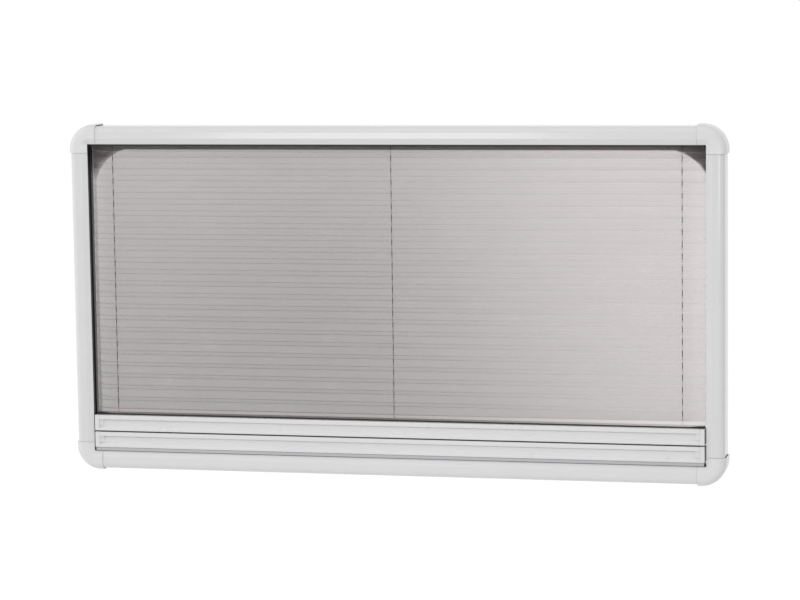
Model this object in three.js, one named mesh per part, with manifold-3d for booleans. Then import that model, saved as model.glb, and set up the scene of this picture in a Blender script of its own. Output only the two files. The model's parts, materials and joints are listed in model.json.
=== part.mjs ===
// Framed double window blind: a pleated insect screen above a pleated blackout blind.
// Millimetres. +X runs along the width, -Y is the room side, +Z is up. The wall plane is Y = 0.
// The origin is on the rear face of the bottom rail, at mid width and mid height of that face.

import * as THREE from 'three';
import { mergeVertices } from 'three/addons/utils/BufferGeometryUtils.js';
import Module from 'manifold-3d';

const wasm = await Module();
wasm.setup();

// Frame. Depths are measured from the wall towards the room.
const openingWidth = 1000;
const openingHeight = 500;
const railFace = 29;
const profileWall = 2;
const faceDepth = 45;
const slopeRise = 4;
const slopeRun = 9.2;
const frontRadius = 10;
const lipDepth = faceDepth - slopeRise;

// Corner caps
const capProud = 2.6;
const capFrontProud = 1.2;
const capRadius = 40;
const capStraight = 5.6;
const capFace = railFace + capProud;
const capFront = faceDepth + capFrontProud;
const capLeg = capRadius - capFace + capStraight;
const lipCornerRadius = 0.6;

// Corner brackets and their screws
const bracketLeg = 62;
const bracketThickness = 3;
const bracketInset = 3;
const cornerScrewAt = 40;
const cornerScrewRadius = 1.6;
const cornerScrewHeadRadius = 3.2;
const cornerScrewHeadHeight = 1.1;

// Wall screw holes in the rear legs
const wallHoleRadius = 2.3;
const wallHoleEndMargin = 110;
const wallHoleSpacing = 260;
const wallHoleShares = [-1.5, -0.5, 0.5, 1.5];

// Gaps between pieces
const clearance = 0.3;
const glideClearance = 0.5;
const cutOverrun = 4;

// Side tracks
const trackInset = 0.2;
const trackThickness = 14;
const trackOverlap = 8;
const trackLug = 2;
const trackFrontLug = 1.1;
const grooveWidth = 8;
const grooveDepth = 8.5;

// Dark strip and corner pieces behind the screen
const topStripHeight = 9.6;
const cornerPieceRadius = 69;
const cornerPieceReach = 51;
const cornerPieceDrop = 47;
const cornerPieceFootWidth = 0.8;
const cornerPieceTipDepth = 2;

// Pleated fabrics. Both are centred on the guide cords, which hang a setback behind the lip.
const guideSetback = 12;
const guideDepth = lipDepth - guideSetback;
const pleatDepth = 16;
const revealMargin = 5.5;
const revealDepth = guideDepth - pleatDepth / 2 - revealMargin;
const netSideGap = 3.4;
const netPleats = 22;
const frontFoldShare = 0.5;
const netSheet = 0.75;
const netDroopTop = -0.7;
const netDroopFoot = 1.7;
const headStripDrop = 3;
const headStripHeight = 5;
const footStripHeight = 2.6;
const packedSideGap = 3.2;
const packedPleatDepth = 17;
const packedPleats = 24;
const packedPleatNotch = 1.2;
const packedHeadHeight = 4.9;
const packedHeadSetback = 1.2;
const packedFootHeight = 3;

// Pull bars
const barFrontProud = 3.7;
const barBackMargin = 1;
const barHeight = 25.5;
const barSideGap = 2.15;
const barFootGap = 6.1;
const barSpacing = 2;
const barWall = 1.6;
const barEdgeRadius = 1.2;
const barUpperLip = 7;
const barLowerLip = 3.9;
const barRecess = 2.8;
const barRampHeight = 3.6;
const barUndercut = 1.3;
const barUndercutHeight = 1.7;
const barEndWidth = 7.2;
const barPlugLength = 12;
const barTongueLength = 7;
const barTongueThickness = 0.8;
const glideHeight = 19;
const glideTipGap = 1.9;
const sealDepth = 9;
const sealSetback = 1.4;

// Guide cords
const cordRadius = 0.65;
const cordHoleRadius = 1.6;
const netHoleRadius = 2;
const cordSideOffset = 38.3;
const ferruleRadius = 2.4;
const ferruleHeight = 1.7;
const upperFerruleHeight = 4;
const springRadius = 2.7;
const springWire = 0.45;
const springHeadroom = 5.4;
const springTurns = 5;
const springTurnSteps = 8;
const springSides = 5;

// Counts of facets
const roundSteps = 6;
const barEdgeSteps = 2;
const cornerSteps = 8;
const arcSteps = 10;
const holeSides = 8;
const netHoleSides = 3;

const quarterTurn = Math.PI / 2;

function finish(color, roughness, metalness = 0) {
  return new THREE.MeshStandardMaterial({ color, roughness, metalness });
}

const finishes = {
  frameWhite: () => finish(0xd7d8d9, 0.32),
  barWhite: () => finish(0xdadbdc, 0.3),
  trackBlack: () => finish(0x111114, 0.55),
  darkPlastic: () => finish(0x1d1c20, 0.6),
  sealBrown: () => finish(0x2b2320, 0.8),
  bracketZinc: () => finish(0x9da0a3, 0.35, 0.8),
  springSteel: () => finish(0xb4b6b8, 0.3, 0.9),
  netGrey: () => finish(0xaaa6a3, 0.85),
  cordBlack: () => finish(0x1a1918, 0.7),
  blackoutGrey: () => finish(0xb3b4bb, 0.8),
  stripGrey: () => finish(0xb6b7bd, 0.6),
};

function piece(name, geometry, material) {
  const mesh = new THREE.Mesh(geometry, material);
  mesh.name = name;
  return mesh;
}

// Solids for joining and cutting

function toSolid(geometry) {
  const bare = geometry.clone();
  bare.deleteAttribute('normal');
  bare.deleteAttribute('uv');
  const merged = mergeVertices(bare);
  return new wasm.Manifold(new wasm.Mesh({
    numProp: 3,
    vertProperties: new Float32Array(merged.attributes.position.array),
    triVerts: new Uint32Array(merged.index.array),
  }));
}

function toGeometry(solid) {
  const mesh = solid.getMesh();
  const geometry = new THREE.BufferGeometry();
  geometry.setAttribute('position', new THREE.BufferAttribute(mesh.vertProperties, 3));
  geometry.setIndex(new THREE.BufferAttribute(mesh.triVerts, 1));
  return geometry;
}

function cut(geometry, cutters) {
  let solid = toSolid(geometry);
  for (const cutter of cutters) {
    solid = solid.subtract(toSolid(cutter));
  }
  return toGeometry(solid);
}

function join(geometries) {
  let solid = toSolid(geometries[0]);
  for (const geometry of geometries.slice(1)) {
    solid = solid.add(toSolid(geometry));
  }
  return toGeometry(solid);
}

// Basic shapes

// A box given by its lowest and highest X, depth from the wall, and Z.
function depthBox(x0, x1, depth0, depth1, z0, z1) {
  const box = new THREE.BoxGeometry(x1 - x0, depth1 - depth0, z1 - z0);
  box.translate((x0 + x1) / 2, -(depth0 + depth1) / 2, (z0 + z1) / 2);
  return box;
}

// The same box with its X measured outwards from the middle, on the left (-1) or right (1) side.
function sideBox(side, x0, x1, depth0, depth1, z0, z1) {
  if (side > 0) return depthBox(x0, x1, depth0, depth1, z0, z1);
  return depthBox(-x1, -x0, depth0, depth1, z0, z1);
}

// An outline of [height below the lip, depth from the wall] points, run along X for a length.
function railRun(outline, length) {
  const shape = new THREE.Shape(outline.map(([u, depth]) => new THREE.Vector2(u, depth)));
  const run = new THREE.ExtrudeGeometry(shape, { depth: length, bevelEnabled: false });
  run.translate(0, 0, -length / 2);
  const down = new THREE.Vector3(0, 0, -1);
  const forward = new THREE.Vector3(0, -1, 0);
  const along = new THREE.Vector3(-1, 0, 0);
  run.applyMatrix4(new THREE.Matrix4().makeBasis(down, forward, along));
  return run;
}

// A shape of [depth from the wall, Z] points, with holes in it, run along X for a length.
function barRun(outline, holes, length) {
  const shape = new THREE.Shape(outline.map(([depth, z]) => new THREE.Vector2(depth, z)));
  for (const hole of holes) {
    shape.holes.push(new THREE.Path(hole.map(([depth, z]) => new THREE.Vector2(depth, z))));
  }
  const run = new THREE.ExtrudeGeometry(shape, { depth: length, bevelEnabled: false });
  run.translate(0, 0, -length / 2);
  const forward = new THREE.Vector3(0, -1, 0);
  const up = new THREE.Vector3(0, 0, 1);
  const along = new THREE.Vector3(-1, 0, 0);
  run.applyMatrix4(new THREE.Matrix4().makeBasis(forward, up, along));
  return run;
}

function uprightRod(x, depth, z0, z1, radius, sides) {
  const rod = new THREE.CylinderGeometry(radius, radius, z1 - z0, sides);
  rod.rotateX(quarterTurn);
  rod.translate(x, -depth, (z0 + z1) / 2);
  return rod;
}

function wallwardRod(x, z, depth0, depth1, radius, sides) {
  const rod = new THREE.CylinderGeometry(radius, radius, depth1 - depth0, sides);
  rod.translate(x, -(depth0 + depth1) / 2, z);
  return rod;
}

// Closed body through equal rings of points. The first and last ring are filled from a flat outline.
function loft(rings, flatOutline) {
  const count = rings[0].length;
  const index = [];
  for (let r = 0; r < rings.length - 1; r += 1) {
    for (let i = 0; i < count; i += 1) {
      const a = r * count + i;
      const b = r * count + (i + 1) % count;
      index.push(a, b, a + count, b, b + count, a + count);
    }
  }
  const last = (rings.length - 1) * count;
  for (const [a, b, c] of THREE.ShapeUtils.triangulateShape(flatOutline, [])) {
    index.push(c, b, a);
    index.push(last + a, last + b, last + c);
  }
  const geometry = new THREE.BufferGeometry().setFromPoints(rings.flat());
  geometry.setIndex(index);
  return geometry;
}

// Frame profile

// How far the front leans back over the slope from its flat band to the lip.
function slopeLean(front) {
  return Math.atan2(front - lipDepth, slopeRun);
}

// Open channel section: sloped lip, flat front band, rounded outer edge, side wall, rear leg and
// short rear reveal.
function channelOutline(face, front, edgeRadius) {
  const lean = slopeLean(front);
  const points = [[0, lipDepth], [slopeRun, front]];
  const edge = (inset, i) => {
    const angle = quarterTurn * (i / roundSteps);
    const reach = edgeRadius - inset;
    points.push([face - edgeRadius + reach * Math.sin(angle), front - edgeRadius + reach * Math.cos(angle)]);
  };
  for (let i = 0; i <= roundSteps; i += 1) edge(0, i);
  points.push([face, 0], [0, 0], [0, revealDepth], [profileWall, revealDepth]);
  points.push([profileWall, profileWall], [face - profileWall, profileWall]);
  for (let i = roundSteps; i >= 0; i -= 1) edge(profileWall, i);
  points.push([slopeRun + profileWall * Math.tan(lean / 2), front - profileWall]);
  points.push([profileWall * Math.sin(lean), lipRearDepth(front)]);
  return points.reverse();
}

// Depth of the lip's rear edge, which the inserts in the channel stop short of.
function lipRearDepth(front) {
  return lipDepth - profileWall * Math.cos(slopeLean(front));
}

const insertFront = Math.min(lipRearDepth(faceDepth), lipRearDepth(capFront)) - clearance;
const insertBack = revealDepth + clearance;
const insertNeck = profileWall + clearance;

// A rail with its wall screw holes, lying along X with its lip at Z = 0 and its face below that.
function rail(length, holesAt) {
  const run = railRun(channelOutline(railFace, faceDepth, frontRadius), length);
  const screwAt = -railFace / 2;
  const holes = holesAt.map((x) => (
    wallwardRod(x, screwAt, -cutOverrun, profileWall + cutOverrun, wallHoleRadius, holeSides)
  ));
  return cut(run, [...holes, ...bracketHoles(length)]);
}

// Counterbored holes for the two corner screws in a rail's rear leg.
function bracketHoles(length) {
  const holes = [];
  const seatDepth = cornerScrewHeadHeight + clearance;
  const radius = cornerScrewRadius + clearance;
  const headRadius = cornerScrewHeadRadius + clearance;
  for (const side of [-1, 1]) {
    const x = side * (length / 2 + capLeg + clearance - cornerScrewAt);
    const z = -railFace / 2;
    holes.push(wallwardRod(x, z, -cutOverrun, profileWall + cutOverrun, radius, holeSides));
    holes.push(wallwardRod(x, z, -cutOverrun, seatDepth, headRadius, holeSides));
  }
  return holes;
}

// Corner pieces. The lip corner is at X = 0, Z = 0. One leg runs along +X and the other along +Z.

// Sweeps a section round the corner. The corner radius grows from the lip to the outer face.
function cornerSweep(section, leg) {
  const station = (place) => section.map(([u, depth]) => {
    const radius = lipCornerRadius + (capRadius - lipCornerRadius) * (u / capFace);
    const [x, z] = place(u, radius);
    return new THREE.Vector3(x, -depth, z);
  });
  const rings = [station((u) => [leg, -u])];
  for (let i = 0; i <= cornerSteps; i += 1) {
    const angle = quarterTurn * (i / cornerSteps);
    rings.push(station((u, radius) => {
      const centre = radius - u;
      return [centre - radius * Math.sin(angle), centre - radius * Math.cos(angle)];
    }));
  }
  rings.push(station((u) => [-u, leg]));
  return loft(rings, section.map(([u, depth]) => new THREE.Vector2(u, depth)));
}

function cornerCap() {
  return cornerSweep(channelOutline(capFace, capFront, frontRadius + capProud), capLeg);
}

function cornerBracket() {
  const near = profileWall + bracketInset;
  const far = railFace - profileWall - bracketInset;
  const back = profileWall + clearance;
  const front = back + bracketThickness;
  const outline = [[near, back], [far, back], [far, front], [near, front]];
  const plate = cornerSweep(outline, bracketLeg);
  const at = -railFace / 2;
  const radius = cornerScrewRadius + clearance / 2;
  const holeFront = front + cutOverrun;
  return cut(plate, [
    wallwardRod(cornerScrewAt, at, 0, holeFront, radius, holeSides),
    wallwardRod(at, cornerScrewAt, 0, holeFront, radius, holeSides),
  ]);
}

// Countersunk machine screw, driven from behind through the rear leg into the bracket.
function cornerScrew() {
  const shank = cornerScrewRadius - clearance / 2;
  const tip = profileWall + clearance + bracketThickness;
  const head = cornerScrewHeadHeight;
  const profile = [
    new THREE.Vector2(0, clearance),
    new THREE.Vector2(cornerScrewHeadRadius, clearance),
    new THREE.Vector2(cornerScrewHeadRadius, head),
    new THREE.Vector2(shank, head),
    new THREE.Vector2(shank, tip),
    new THREE.Vector2(0, tip),
  ];
  const screw = new THREE.LatheGeometry(profile, holeSides);
  screw.rotateX(Math.PI);
  return screw;
}

// Inserts in the channels

// Snap-in insert section. Its visible face is at faceAt below the lip, and it is thickness deep.
function insertOutline(faceAt, thickness) {
  return [
    [faceAt, insertBack],
    [insertNeck, insertBack],
    [insertNeck, insertBack - trackLug],
    [thickness, insertBack - trackLug],
    [thickness, insertFront + trackFrontLug],
    [insertNeck + profileWall / 2, insertFront + trackFrontLug],
    [insertNeck, insertFront],
    [faceAt, insertFront],
  ];
}

// Black track with the groove that the bars' glides run in.
function sideTrack() {
  const outline = insertOutline(trackInset, trackThickness);
  const half = grooveWidth / 2;
  outline.push(
    [trackInset, guideDepth + half],
    [grooveDepth, guideDepth + half],
    [grooveDepth, guideDepth - half],
    [trackInset, guideDepth - half],
  );
  return railRun(outline, openingHeight + 2 * trackOverlap);
}

const cordPlaces = {
  left: -openingWidth / 2 + cordSideOffset,
  middle: 0,
  right: openingWidth / 2 - cordSideOffset,
};

function cordHoles(z0, z1, radius = cordHoleRadius, sides = holeSides) {
  return Object.values(cordPlaces).map((x) => (
    uprightRod(x, guideDepth, z0 - cutOverrun, z1 + cutOverrun, radius, sides)
  ));
}

const headStripBottom = openingHeight - headStripDrop;
const headStripTop = openingHeight + headStripHeight;

// Black strip clipped into the top rail. The screen's top pleat is clamped under it.
function screenHead() {
  const length = openingWidth - 2 * clearance;
  const clip = railRun(insertOutline(0, headStripHeight), length);
  clip.rotateY(Math.PI);
  clip.translate(0, 0, openingHeight);
  const half = pleatDepth / 2;
  const halfWidth = length / 2 - netSideGap;
  const blade = depthBox(
    -halfWidth, halfWidth, guideDepth - half, guideDepth + half,
    headStripBottom, openingHeight + insertNeck,
  );
  return cut(join([clip, blade]), cordHoles(headStripBottom, headStripTop));
}

// Pull bars

const barBack = guideDepth - pleatDepth / 2 - barBackMargin;
const barFront = lipDepth + barFrontProud;
const barWidth = openingWidth - 2 * barSideGap;
const barBodyWidth = barWidth - 2 * (barEndWidth + clearance);
const recessFace = barFront - barRecess;
const recessBottom = barLowerLip + barRampHeight;
const recessTop = barHeight - barUpperLip;
const lowerBarBottom = barFootGap;
const upperBarBottom = lowerBarBottom + barHeight + barSpacing;

function roundedCorner(depth, z, towardsDepth, towardsZ, radius) {
  const points = [];
  for (let i = 0; i <= barEdgeSteps; i += 1) {
    const angle = quarterTurn * (i / barEdgeSteps);
    points.push([
      depth + towardsDepth * radius * (1 - Math.cos(angle)),
      z + towardsZ * radius * (1 - Math.sin(angle)),
    ]);
  }
  return points;
}

// Bar section with an upper lip over an undercut finger recess, and a ramp down to a lower lip.
function barOutline() {
  return [
    [barBack, 0],
    ...roundedCorner(barFront, 0, -1, 1, barEdgeRadius).reverse(),
    [barFront, barLowerLip],
    [recessFace, recessBottom],
    [recessFace, recessTop - barUndercutHeight],
    [recessFace - barUndercut, recessTop],
    [barFront, recessTop],
    ...roundedCorner(barFront, barHeight, -1, -1, barEdgeRadius),
    [barBack, barHeight],
  ];
}

function barBodyGeometry(bottom) {
  const hollowFront = recessFace - barUndercut - barWall;
  const hollow = [
    [barBack + barWall, barWall],
    [hollowFront, barWall],
    [hollowFront, barHeight - barWall],
    [barBack + barWall, barHeight - barWall],
  ];
  const bar = barRun(barOutline(), [hollow], barBodyWidth);
  return cut(bar, cordHoles(0, barHeight)).translate(0, 0, bottom);
}

// Moulded end of a bar, with a plug into the hollow bar, a tongue over the end of the finger recess
// and a glide for the track's groove.
function barEndGeometry(side, bottom) {
  const inner = barWidth / 2 - barEndWidth;
  const outer = barWidth / 2;
  const outline = [
    [barBack, 0],
    ...roundedCorner(barFront, 0, -1, 1, barEdgeRadius).reverse(),
    ...roundedCorner(barFront, barHeight, -1, -1, barEdgeRadius),
    [barBack, barHeight],
  ];
  const block = barRun(outline, [], barEndWidth).translate(side * (inner + outer) / 2, 0, 0);
  const plugFront = recessFace - barUndercut - barWall - clearance;
  const plugEdge = barWall + clearance;
  const plug = sideBox(
    side, inner - barPlugLength, inner + barEndWidth / 2, barBack + plugEdge, plugFront,
    plugEdge, barHeight - plugEdge,
  );
  const tongueBack = recessFace + clearance;
  const tongue = sideBox(
    side, inner - barTongueLength, inner + barEndWidth / 2, tongueBack, tongueBack + barTongueThickness,
    recessBottom + clearance, recessTop - clearance,
  );
  const half = grooveWidth / 2 - glideClearance;
  const middle = barHeight / 2;
  const glideTip = openingWidth / 2 + grooveDepth - glideTipGap;
  const glide = sideBox(
    side, outer - barEndWidth / 2, glideTip, guideDepth - half, guideDepth + half,
    middle - glideHeight / 2, middle + glideHeight / 2,
  );
  return join([block, plug, tongue, glide]).translate(0, 0, bottom);
}

// A flat strip across the blind, with a hole for each cord.
function cordedStrip(halfWidth, back, front, z0, z1) {
  const strip = depthBox(-halfWidth, halfWidth, back, front, z0, z1);
  return cut(strip, cordHoles(z0, z1));
}

const footStripBottom = upperBarBottom + barHeight + clearance;
const netFoot = footStripBottom + footStripHeight + clearance;
const netTop = headStripBottom - clearance;
const netHalfWidth = openingWidth / 2 - netSideGap;

function barSeal() {
  const z = lowerBarBottom + barHeight;
  const front = barFront - sealSetback;
  return depthBox(
    -barBodyWidth / 2, barBodyWidth / 2, front - sealDepth, front, z + clearance,
    z + barSpacing - clearance,
  );
}

// Fabrics

// Zigzag sheet. The front folds hang lower than half way between the back folds, more so further down.
function screenNet() {
  const pitch = (netTop - netFoot) / netPleats;
  const half = netSheet / 2;
  const back = guideDepth - pleatDepth / 2 + half;
  const front = guideDepth + pleatDepth / 2 - half;
  const folds = [[back, netTop]];
  for (let i = 0; i < netPleats; i += 1) {
    const place = i + frontFoldShare;
    const droop = netDroopTop + (netDroopFoot - netDroopTop) * (place / netPleats);
    folds.push([front, netTop - pitch * place - droop]);
    folds.push([back, netTop - pitch * (i + 1)]);
  }
  const outline = [
    ...folds.map(([depth, z]) => [depth + half, z]),
    ...folds.map(([depth, z]) => [depth - half, z]).reverse(),
  ];
  const sheet = barRun(outline, [], 2 * netHalfWidth);
  return cut(sheet, cordHoles(netFoot, netTop, netHoleRadius, netHoleSides));
}

const packedFootBottom = -(railFace - profileWall - clearance);
const packedBottom = packedFootBottom + packedFootHeight + clearance;
const packedHeadBottom = lowerBarBottom - clearance - packedHeadHeight;
const packedTop = packedHeadBottom - clearance;
const packedHalfWidth = openingWidth / 2 - packedSideGap;

// The folded stack, notched between its folds at the front and at the back.
function packedPleatsGeometry() {
  const pitch = (packedTop - packedBottom) / packedPleats;
  const back = guideDepth - packedPleatDepth / 2;
  const front = guideDepth + packedPleatDepth / 2;
  const frontFolds = [];
  const backFolds = [];
  for (let i = 0; i < packedPleats; i += 1) {
    const low = packedBottom + pitch * i;
    frontFolds.push([front - packedPleatNotch, low], [front, low + pitch / 2]);
    backFolds.push([back + packedPleatNotch, low], [back, low + pitch / 2]);
  }
  frontFolds.push([front - packedPleatNotch, packedTop]);
  backFolds.push([back + packedPleatNotch, packedTop]);
  const stack = barRun([...frontFolds, ...backFolds.reverse()], [], 2 * packedHalfWidth);
  return cut(stack, cordHoles(packedBottom, packedTop));
}

// Strip in the bottom rail that the packed fabric ends in, with pockets for the cord ferrules.
// Its lower front edge is cut away along a chord of the rail's rounded edge.
function packedFoot() {
  const top = packedFootBottom + packedFootHeight;
  const back = guideDepth - packedPleatDepth / 2;
  const front = guideDepth + packedPleatDepth / 2;
  const roundStart = faceDepth - frontRadius;
  const roundRadius = frontRadius - profileWall - clearance;
  const chordRise = roundRadius - Math.sqrt(roundRadius ** 2 - (front - roundStart) ** 2);
  const outline = [
    [back, packedFootBottom],
    [roundStart, packedFootBottom],
    [front, packedFootBottom + chordRise],
    [front, top],
    [back, top],
  ];
  const strip = cut(barRun(outline, [], 2 * packedHalfWidth), cordHoles(packedFootBottom, top));
  const pocketTop = packedFootBottom + ferruleHeight + clearance;
  const pockets = Object.values(cordPlaces).map((x) => uprightRod(
    x, guideDepth, packedFootBottom - cutOverrun, pocketTop, ferruleRadius + clearance, holeSides,
  ));
  return cut(strip, pockets);
}

// Dark pieces behind the screen

const stripTop = openingHeight - clearance;
const stripBottom = stripTop - topStripHeight;

function topStrip() {
  const halfWidth = openingWidth / 2 - clearance;
  return depthBox(-halfWidth, halfWidth, clearance, revealDepth - clearance, stripBottom, stripTop);
}

// Corner piece whose inner edge is an arc from its foot to its tip under the top strip. It is as deep as
// the reveal at its top and thin at its foot.
function darkCorner(side) {
  const wallSide = openingWidth / 2 - clearance;
  const top = stripBottom - clearance;
  const foot = top - cornerPieceDrop;
  const start = new THREE.Vector2(wallSide - cornerPieceFootWidth, foot);
  const end = new THREE.Vector2(wallSide - cornerPieceReach, top);
  const chord = end.clone().sub(start);
  const chordSetback = Math.sqrt(cornerPieceRadius ** 2 - (chord.length() / 2) ** 2);
  const towardsOpening = new THREE.Vector2(-chord.y, chord.x).setLength(chordSetback);
  const centre = start.clone().add(end).divideScalar(2).add(towardsOpening);
  const first = start.clone().sub(centre).angle();
  const last = end.clone().sub(centre).angle();
  const outline = [new THREE.Vector2(side * wallSide, top), new THREE.Vector2(side * wallSide, foot)];
  for (let i = 0; i <= arcSteps; i += 1) {
    const angle = first + (last - first) * (i / arcSteps);
    const x = centre.x + cornerPieceRadius * Math.cos(angle);
    outline.push(new THREE.Vector2(side * x, centre.y + cornerPieceRadius * Math.sin(angle)));
  }
  const plate = new THREE.ExtrudeGeometry(new THREE.Shape(outline), {
    depth: revealDepth - 2 * clearance, bevelEnabled: false,
  });
  plate.rotateX(quarterTurn);
  plate.translate(0, -clearance, 0);
  const slope = [
    [cornerPieceTipDepth, foot - cutOverrun],
    [revealDepth + cutOverrun, foot - cutOverrun],
    [revealDepth + cutOverrun, top],
    [revealDepth, top],
    [cornerPieceTipDepth, foot],
  ];
  return cut(plate, [barRun(slope, [], openingWidth + cutOverrun)]);
}

// Guide cords and their ends

const springBottom = headStripTop + clearance;
const channelInside = railFace - profileWall - headStripHeight;
const springHeight = channelInside - 2 * clearance - upperFerruleHeight - springHeadroom;
const springTop = springBottom + springHeight;
const upperFerruleBottom = springTop + clearance;
const upperFerruleTop = upperFerruleBottom + upperFerruleHeight;

function ferrule(x, z0, z1) {
  const body = uprightRod(x, guideDepth, z0, z1, ferruleRadius, holeSides);
  const holeRadius = cordRadius + clearance;
  return cut(body, [uprightRod(x, guideDepth, z0 - cutOverrun, z1 + cutOverrun, holeRadius, holeSides)]);
}

class SpringCurve extends THREE.Curve {
  getPoint(t, target = new THREE.Vector3()) {
    const angle = 2 * Math.PI * springTurns * t;
    const rise = springWire + t * (springHeight - 2 * springWire);
    return target.set(springRadius * Math.cos(angle), springRadius * Math.sin(angle), rise);
  }
}

function tensionSpring(x) {
  const ring = [];
  for (let i = 0; i < springSides; i += 1) {
    const angle = 2 * Math.PI * (i / springSides);
    ring.push(new THREE.Vector2(springWire * Math.cos(angle), springWire * Math.sin(angle)));
  }
  const wire = new THREE.ExtrudeGeometry(new THREE.Shape(ring), {
    steps: springTurnSteps * springTurns, extrudePath: new SpringCurve(), bevelEnabled: false,
  });
  return wire.translate(x, -guideDepth, springBottom);
}

// Assembly

const blind = new THREE.Group();

// Z = 0 of this group is the lower edge of the opening.
const opening = new THREE.Group();
opening.position.z = railFace / 2;
blind.add(opening);

const sides = [
  { name: 'bottom', turn: 0, x: 0, z: 0, length: openingWidth },
  { name: 'left', turn: quarterTurn, x: -openingWidth / 2, z: openingHeight / 2, length: openingHeight },
  { name: 'top', turn: 2 * quarterTurn, x: 0, z: openingHeight, length: openingWidth },
  { name: 'right', turn: -quarterTurn, x: openingWidth / 2, z: openingHeight / 2, length: openingHeight },
];

for (const { name, turn, x, z, length } of sides) {
  const side = new THREE.Group();
  side.position.set(x, 0, z);
  side.rotation.y = turn;
  const upright = name === 'left' || name === 'right';
  const reach = length / 2 - wallHoleEndMargin;
  const holesAt = upright ? [-reach, reach] : wallHoleShares.map((share) => share * wallHoleSpacing);
  const railLength = length - 2 * (capLeg + clearance);
  side.add(piece(`${name}_rail`, rail(railLength, holesAt), finishes.frameWhite()));
  if (upright) {
    side.add(piece(`${name}_track`, sideTrack(), finishes.trackBlack()));
  }
  opening.add(side);
}

const corners = [
  { name: 'bottom_left', turn: 0, x: -openingWidth / 2, z: 0 },
  { name: 'top_left', turn: quarterTurn, x: -openingWidth / 2, z: openingHeight },
  { name: 'top_right', turn: 2 * quarterTurn, x: openingWidth / 2, z: openingHeight },
  { name: 'bottom_right', turn: -quarterTurn, x: openingWidth / 2, z: 0 },
];

for (const { name, turn, x, z } of corners) {
  const corner = new THREE.Group();
  corner.position.set(x, 0, z);
  corner.rotation.y = turn;
  corner.add(piece(`${name}_cap`, cornerCap(), finishes.frameWhite()));
  corner.add(piece(`${name}_bracket`, cornerBracket(), finishes.bracketZinc()));
  const places = [[cornerScrewAt, -railFace / 2], [-railFace / 2, cornerScrewAt]];
  places.forEach(([screwX, screwZ], i) => {
    const screw = piece(`${name}_screw_${i + 1}`, cornerScrew(), finishes.springSteel());
    screw.position.set(screwX, 0, screwZ);
    corner.add(screw);
  });
  opening.add(corner);
}

opening.add(
  piece('top_dark_strip', topStrip(), finishes.darkPlastic()),
  piece('left_dark_corner', darkCorner(-1), finishes.darkPlastic()),
  piece('right_dark_corner', darkCorner(1), finishes.darkPlastic()),
  piece('screen_head', screenHead(), finishes.darkPlastic()),
  piece('screen_net', screenNet(), finishes.netGrey()),
);

const bars = [
  { name: 'screen_bar', bottom: upperBarBottom },
  { name: 'blackout_bar', bottom: lowerBarBottom },
];

for (const { name, bottom } of bars) {
  opening.add(
    piece(name, barBodyGeometry(bottom), finishes.barWhite()),
    piece(`${name}_end_left`, barEndGeometry(-1, bottom), finishes.barWhite()),
    piece(`${name}_end_right`, barEndGeometry(1, bottom), finishes.barWhite()),
  );
}

const footStripTop = footStripBottom + footStripHeight;
const packedHeadTop = packedHeadBottom + packedHeadHeight;

opening.add(
  piece(
    'screen_foot',
    cordedStrip(
      netHalfWidth, guideDepth - pleatDepth / 2, guideDepth + pleatDepth / 2, footStripBottom, footStripTop,
    ),
    finishes.darkPlastic(),
  ),
  piece('bar_seal', barSeal(), finishes.sealBrown()),
  piece(
    'blackout_head',
    cordedStrip(
      packedHalfWidth, guideDepth - packedPleatDepth / 2, barFront - packedHeadSetback, packedHeadBottom,
      packedHeadTop,
    ),
    finishes.stripGrey(),
  ),
  piece('blackout_pleats', packedPleatsGeometry(), finishes.blackoutGrey()),
  piece('blackout_foot', packedFoot(), finishes.stripGrey()),
);

for (const [name, x] of Object.entries(cordPlaces)) {
  const cord = uprightRod(x, guideDepth, packedFootBottom, upperFerruleTop, cordRadius, holeSides);
  const lowerFerruleTop = packedFootBottom + ferruleHeight;
  opening.add(
    piece(`guide_cord_${name}`, cord, finishes.cordBlack()),
    piece(`cord_spring_${name}`, tensionSpring(x), finishes.springSteel()),
    piece(`upper_ferrule_${name}`, ferrule(x, upperFerruleBottom, upperFerruleTop), finishes.springSteel()),
    piece(`lower_ferrule_${name}`, ferrule(x, packedFootBottom, lowerFerruleTop), finishes.springSteel()),
  );
}

export default blind;
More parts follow.
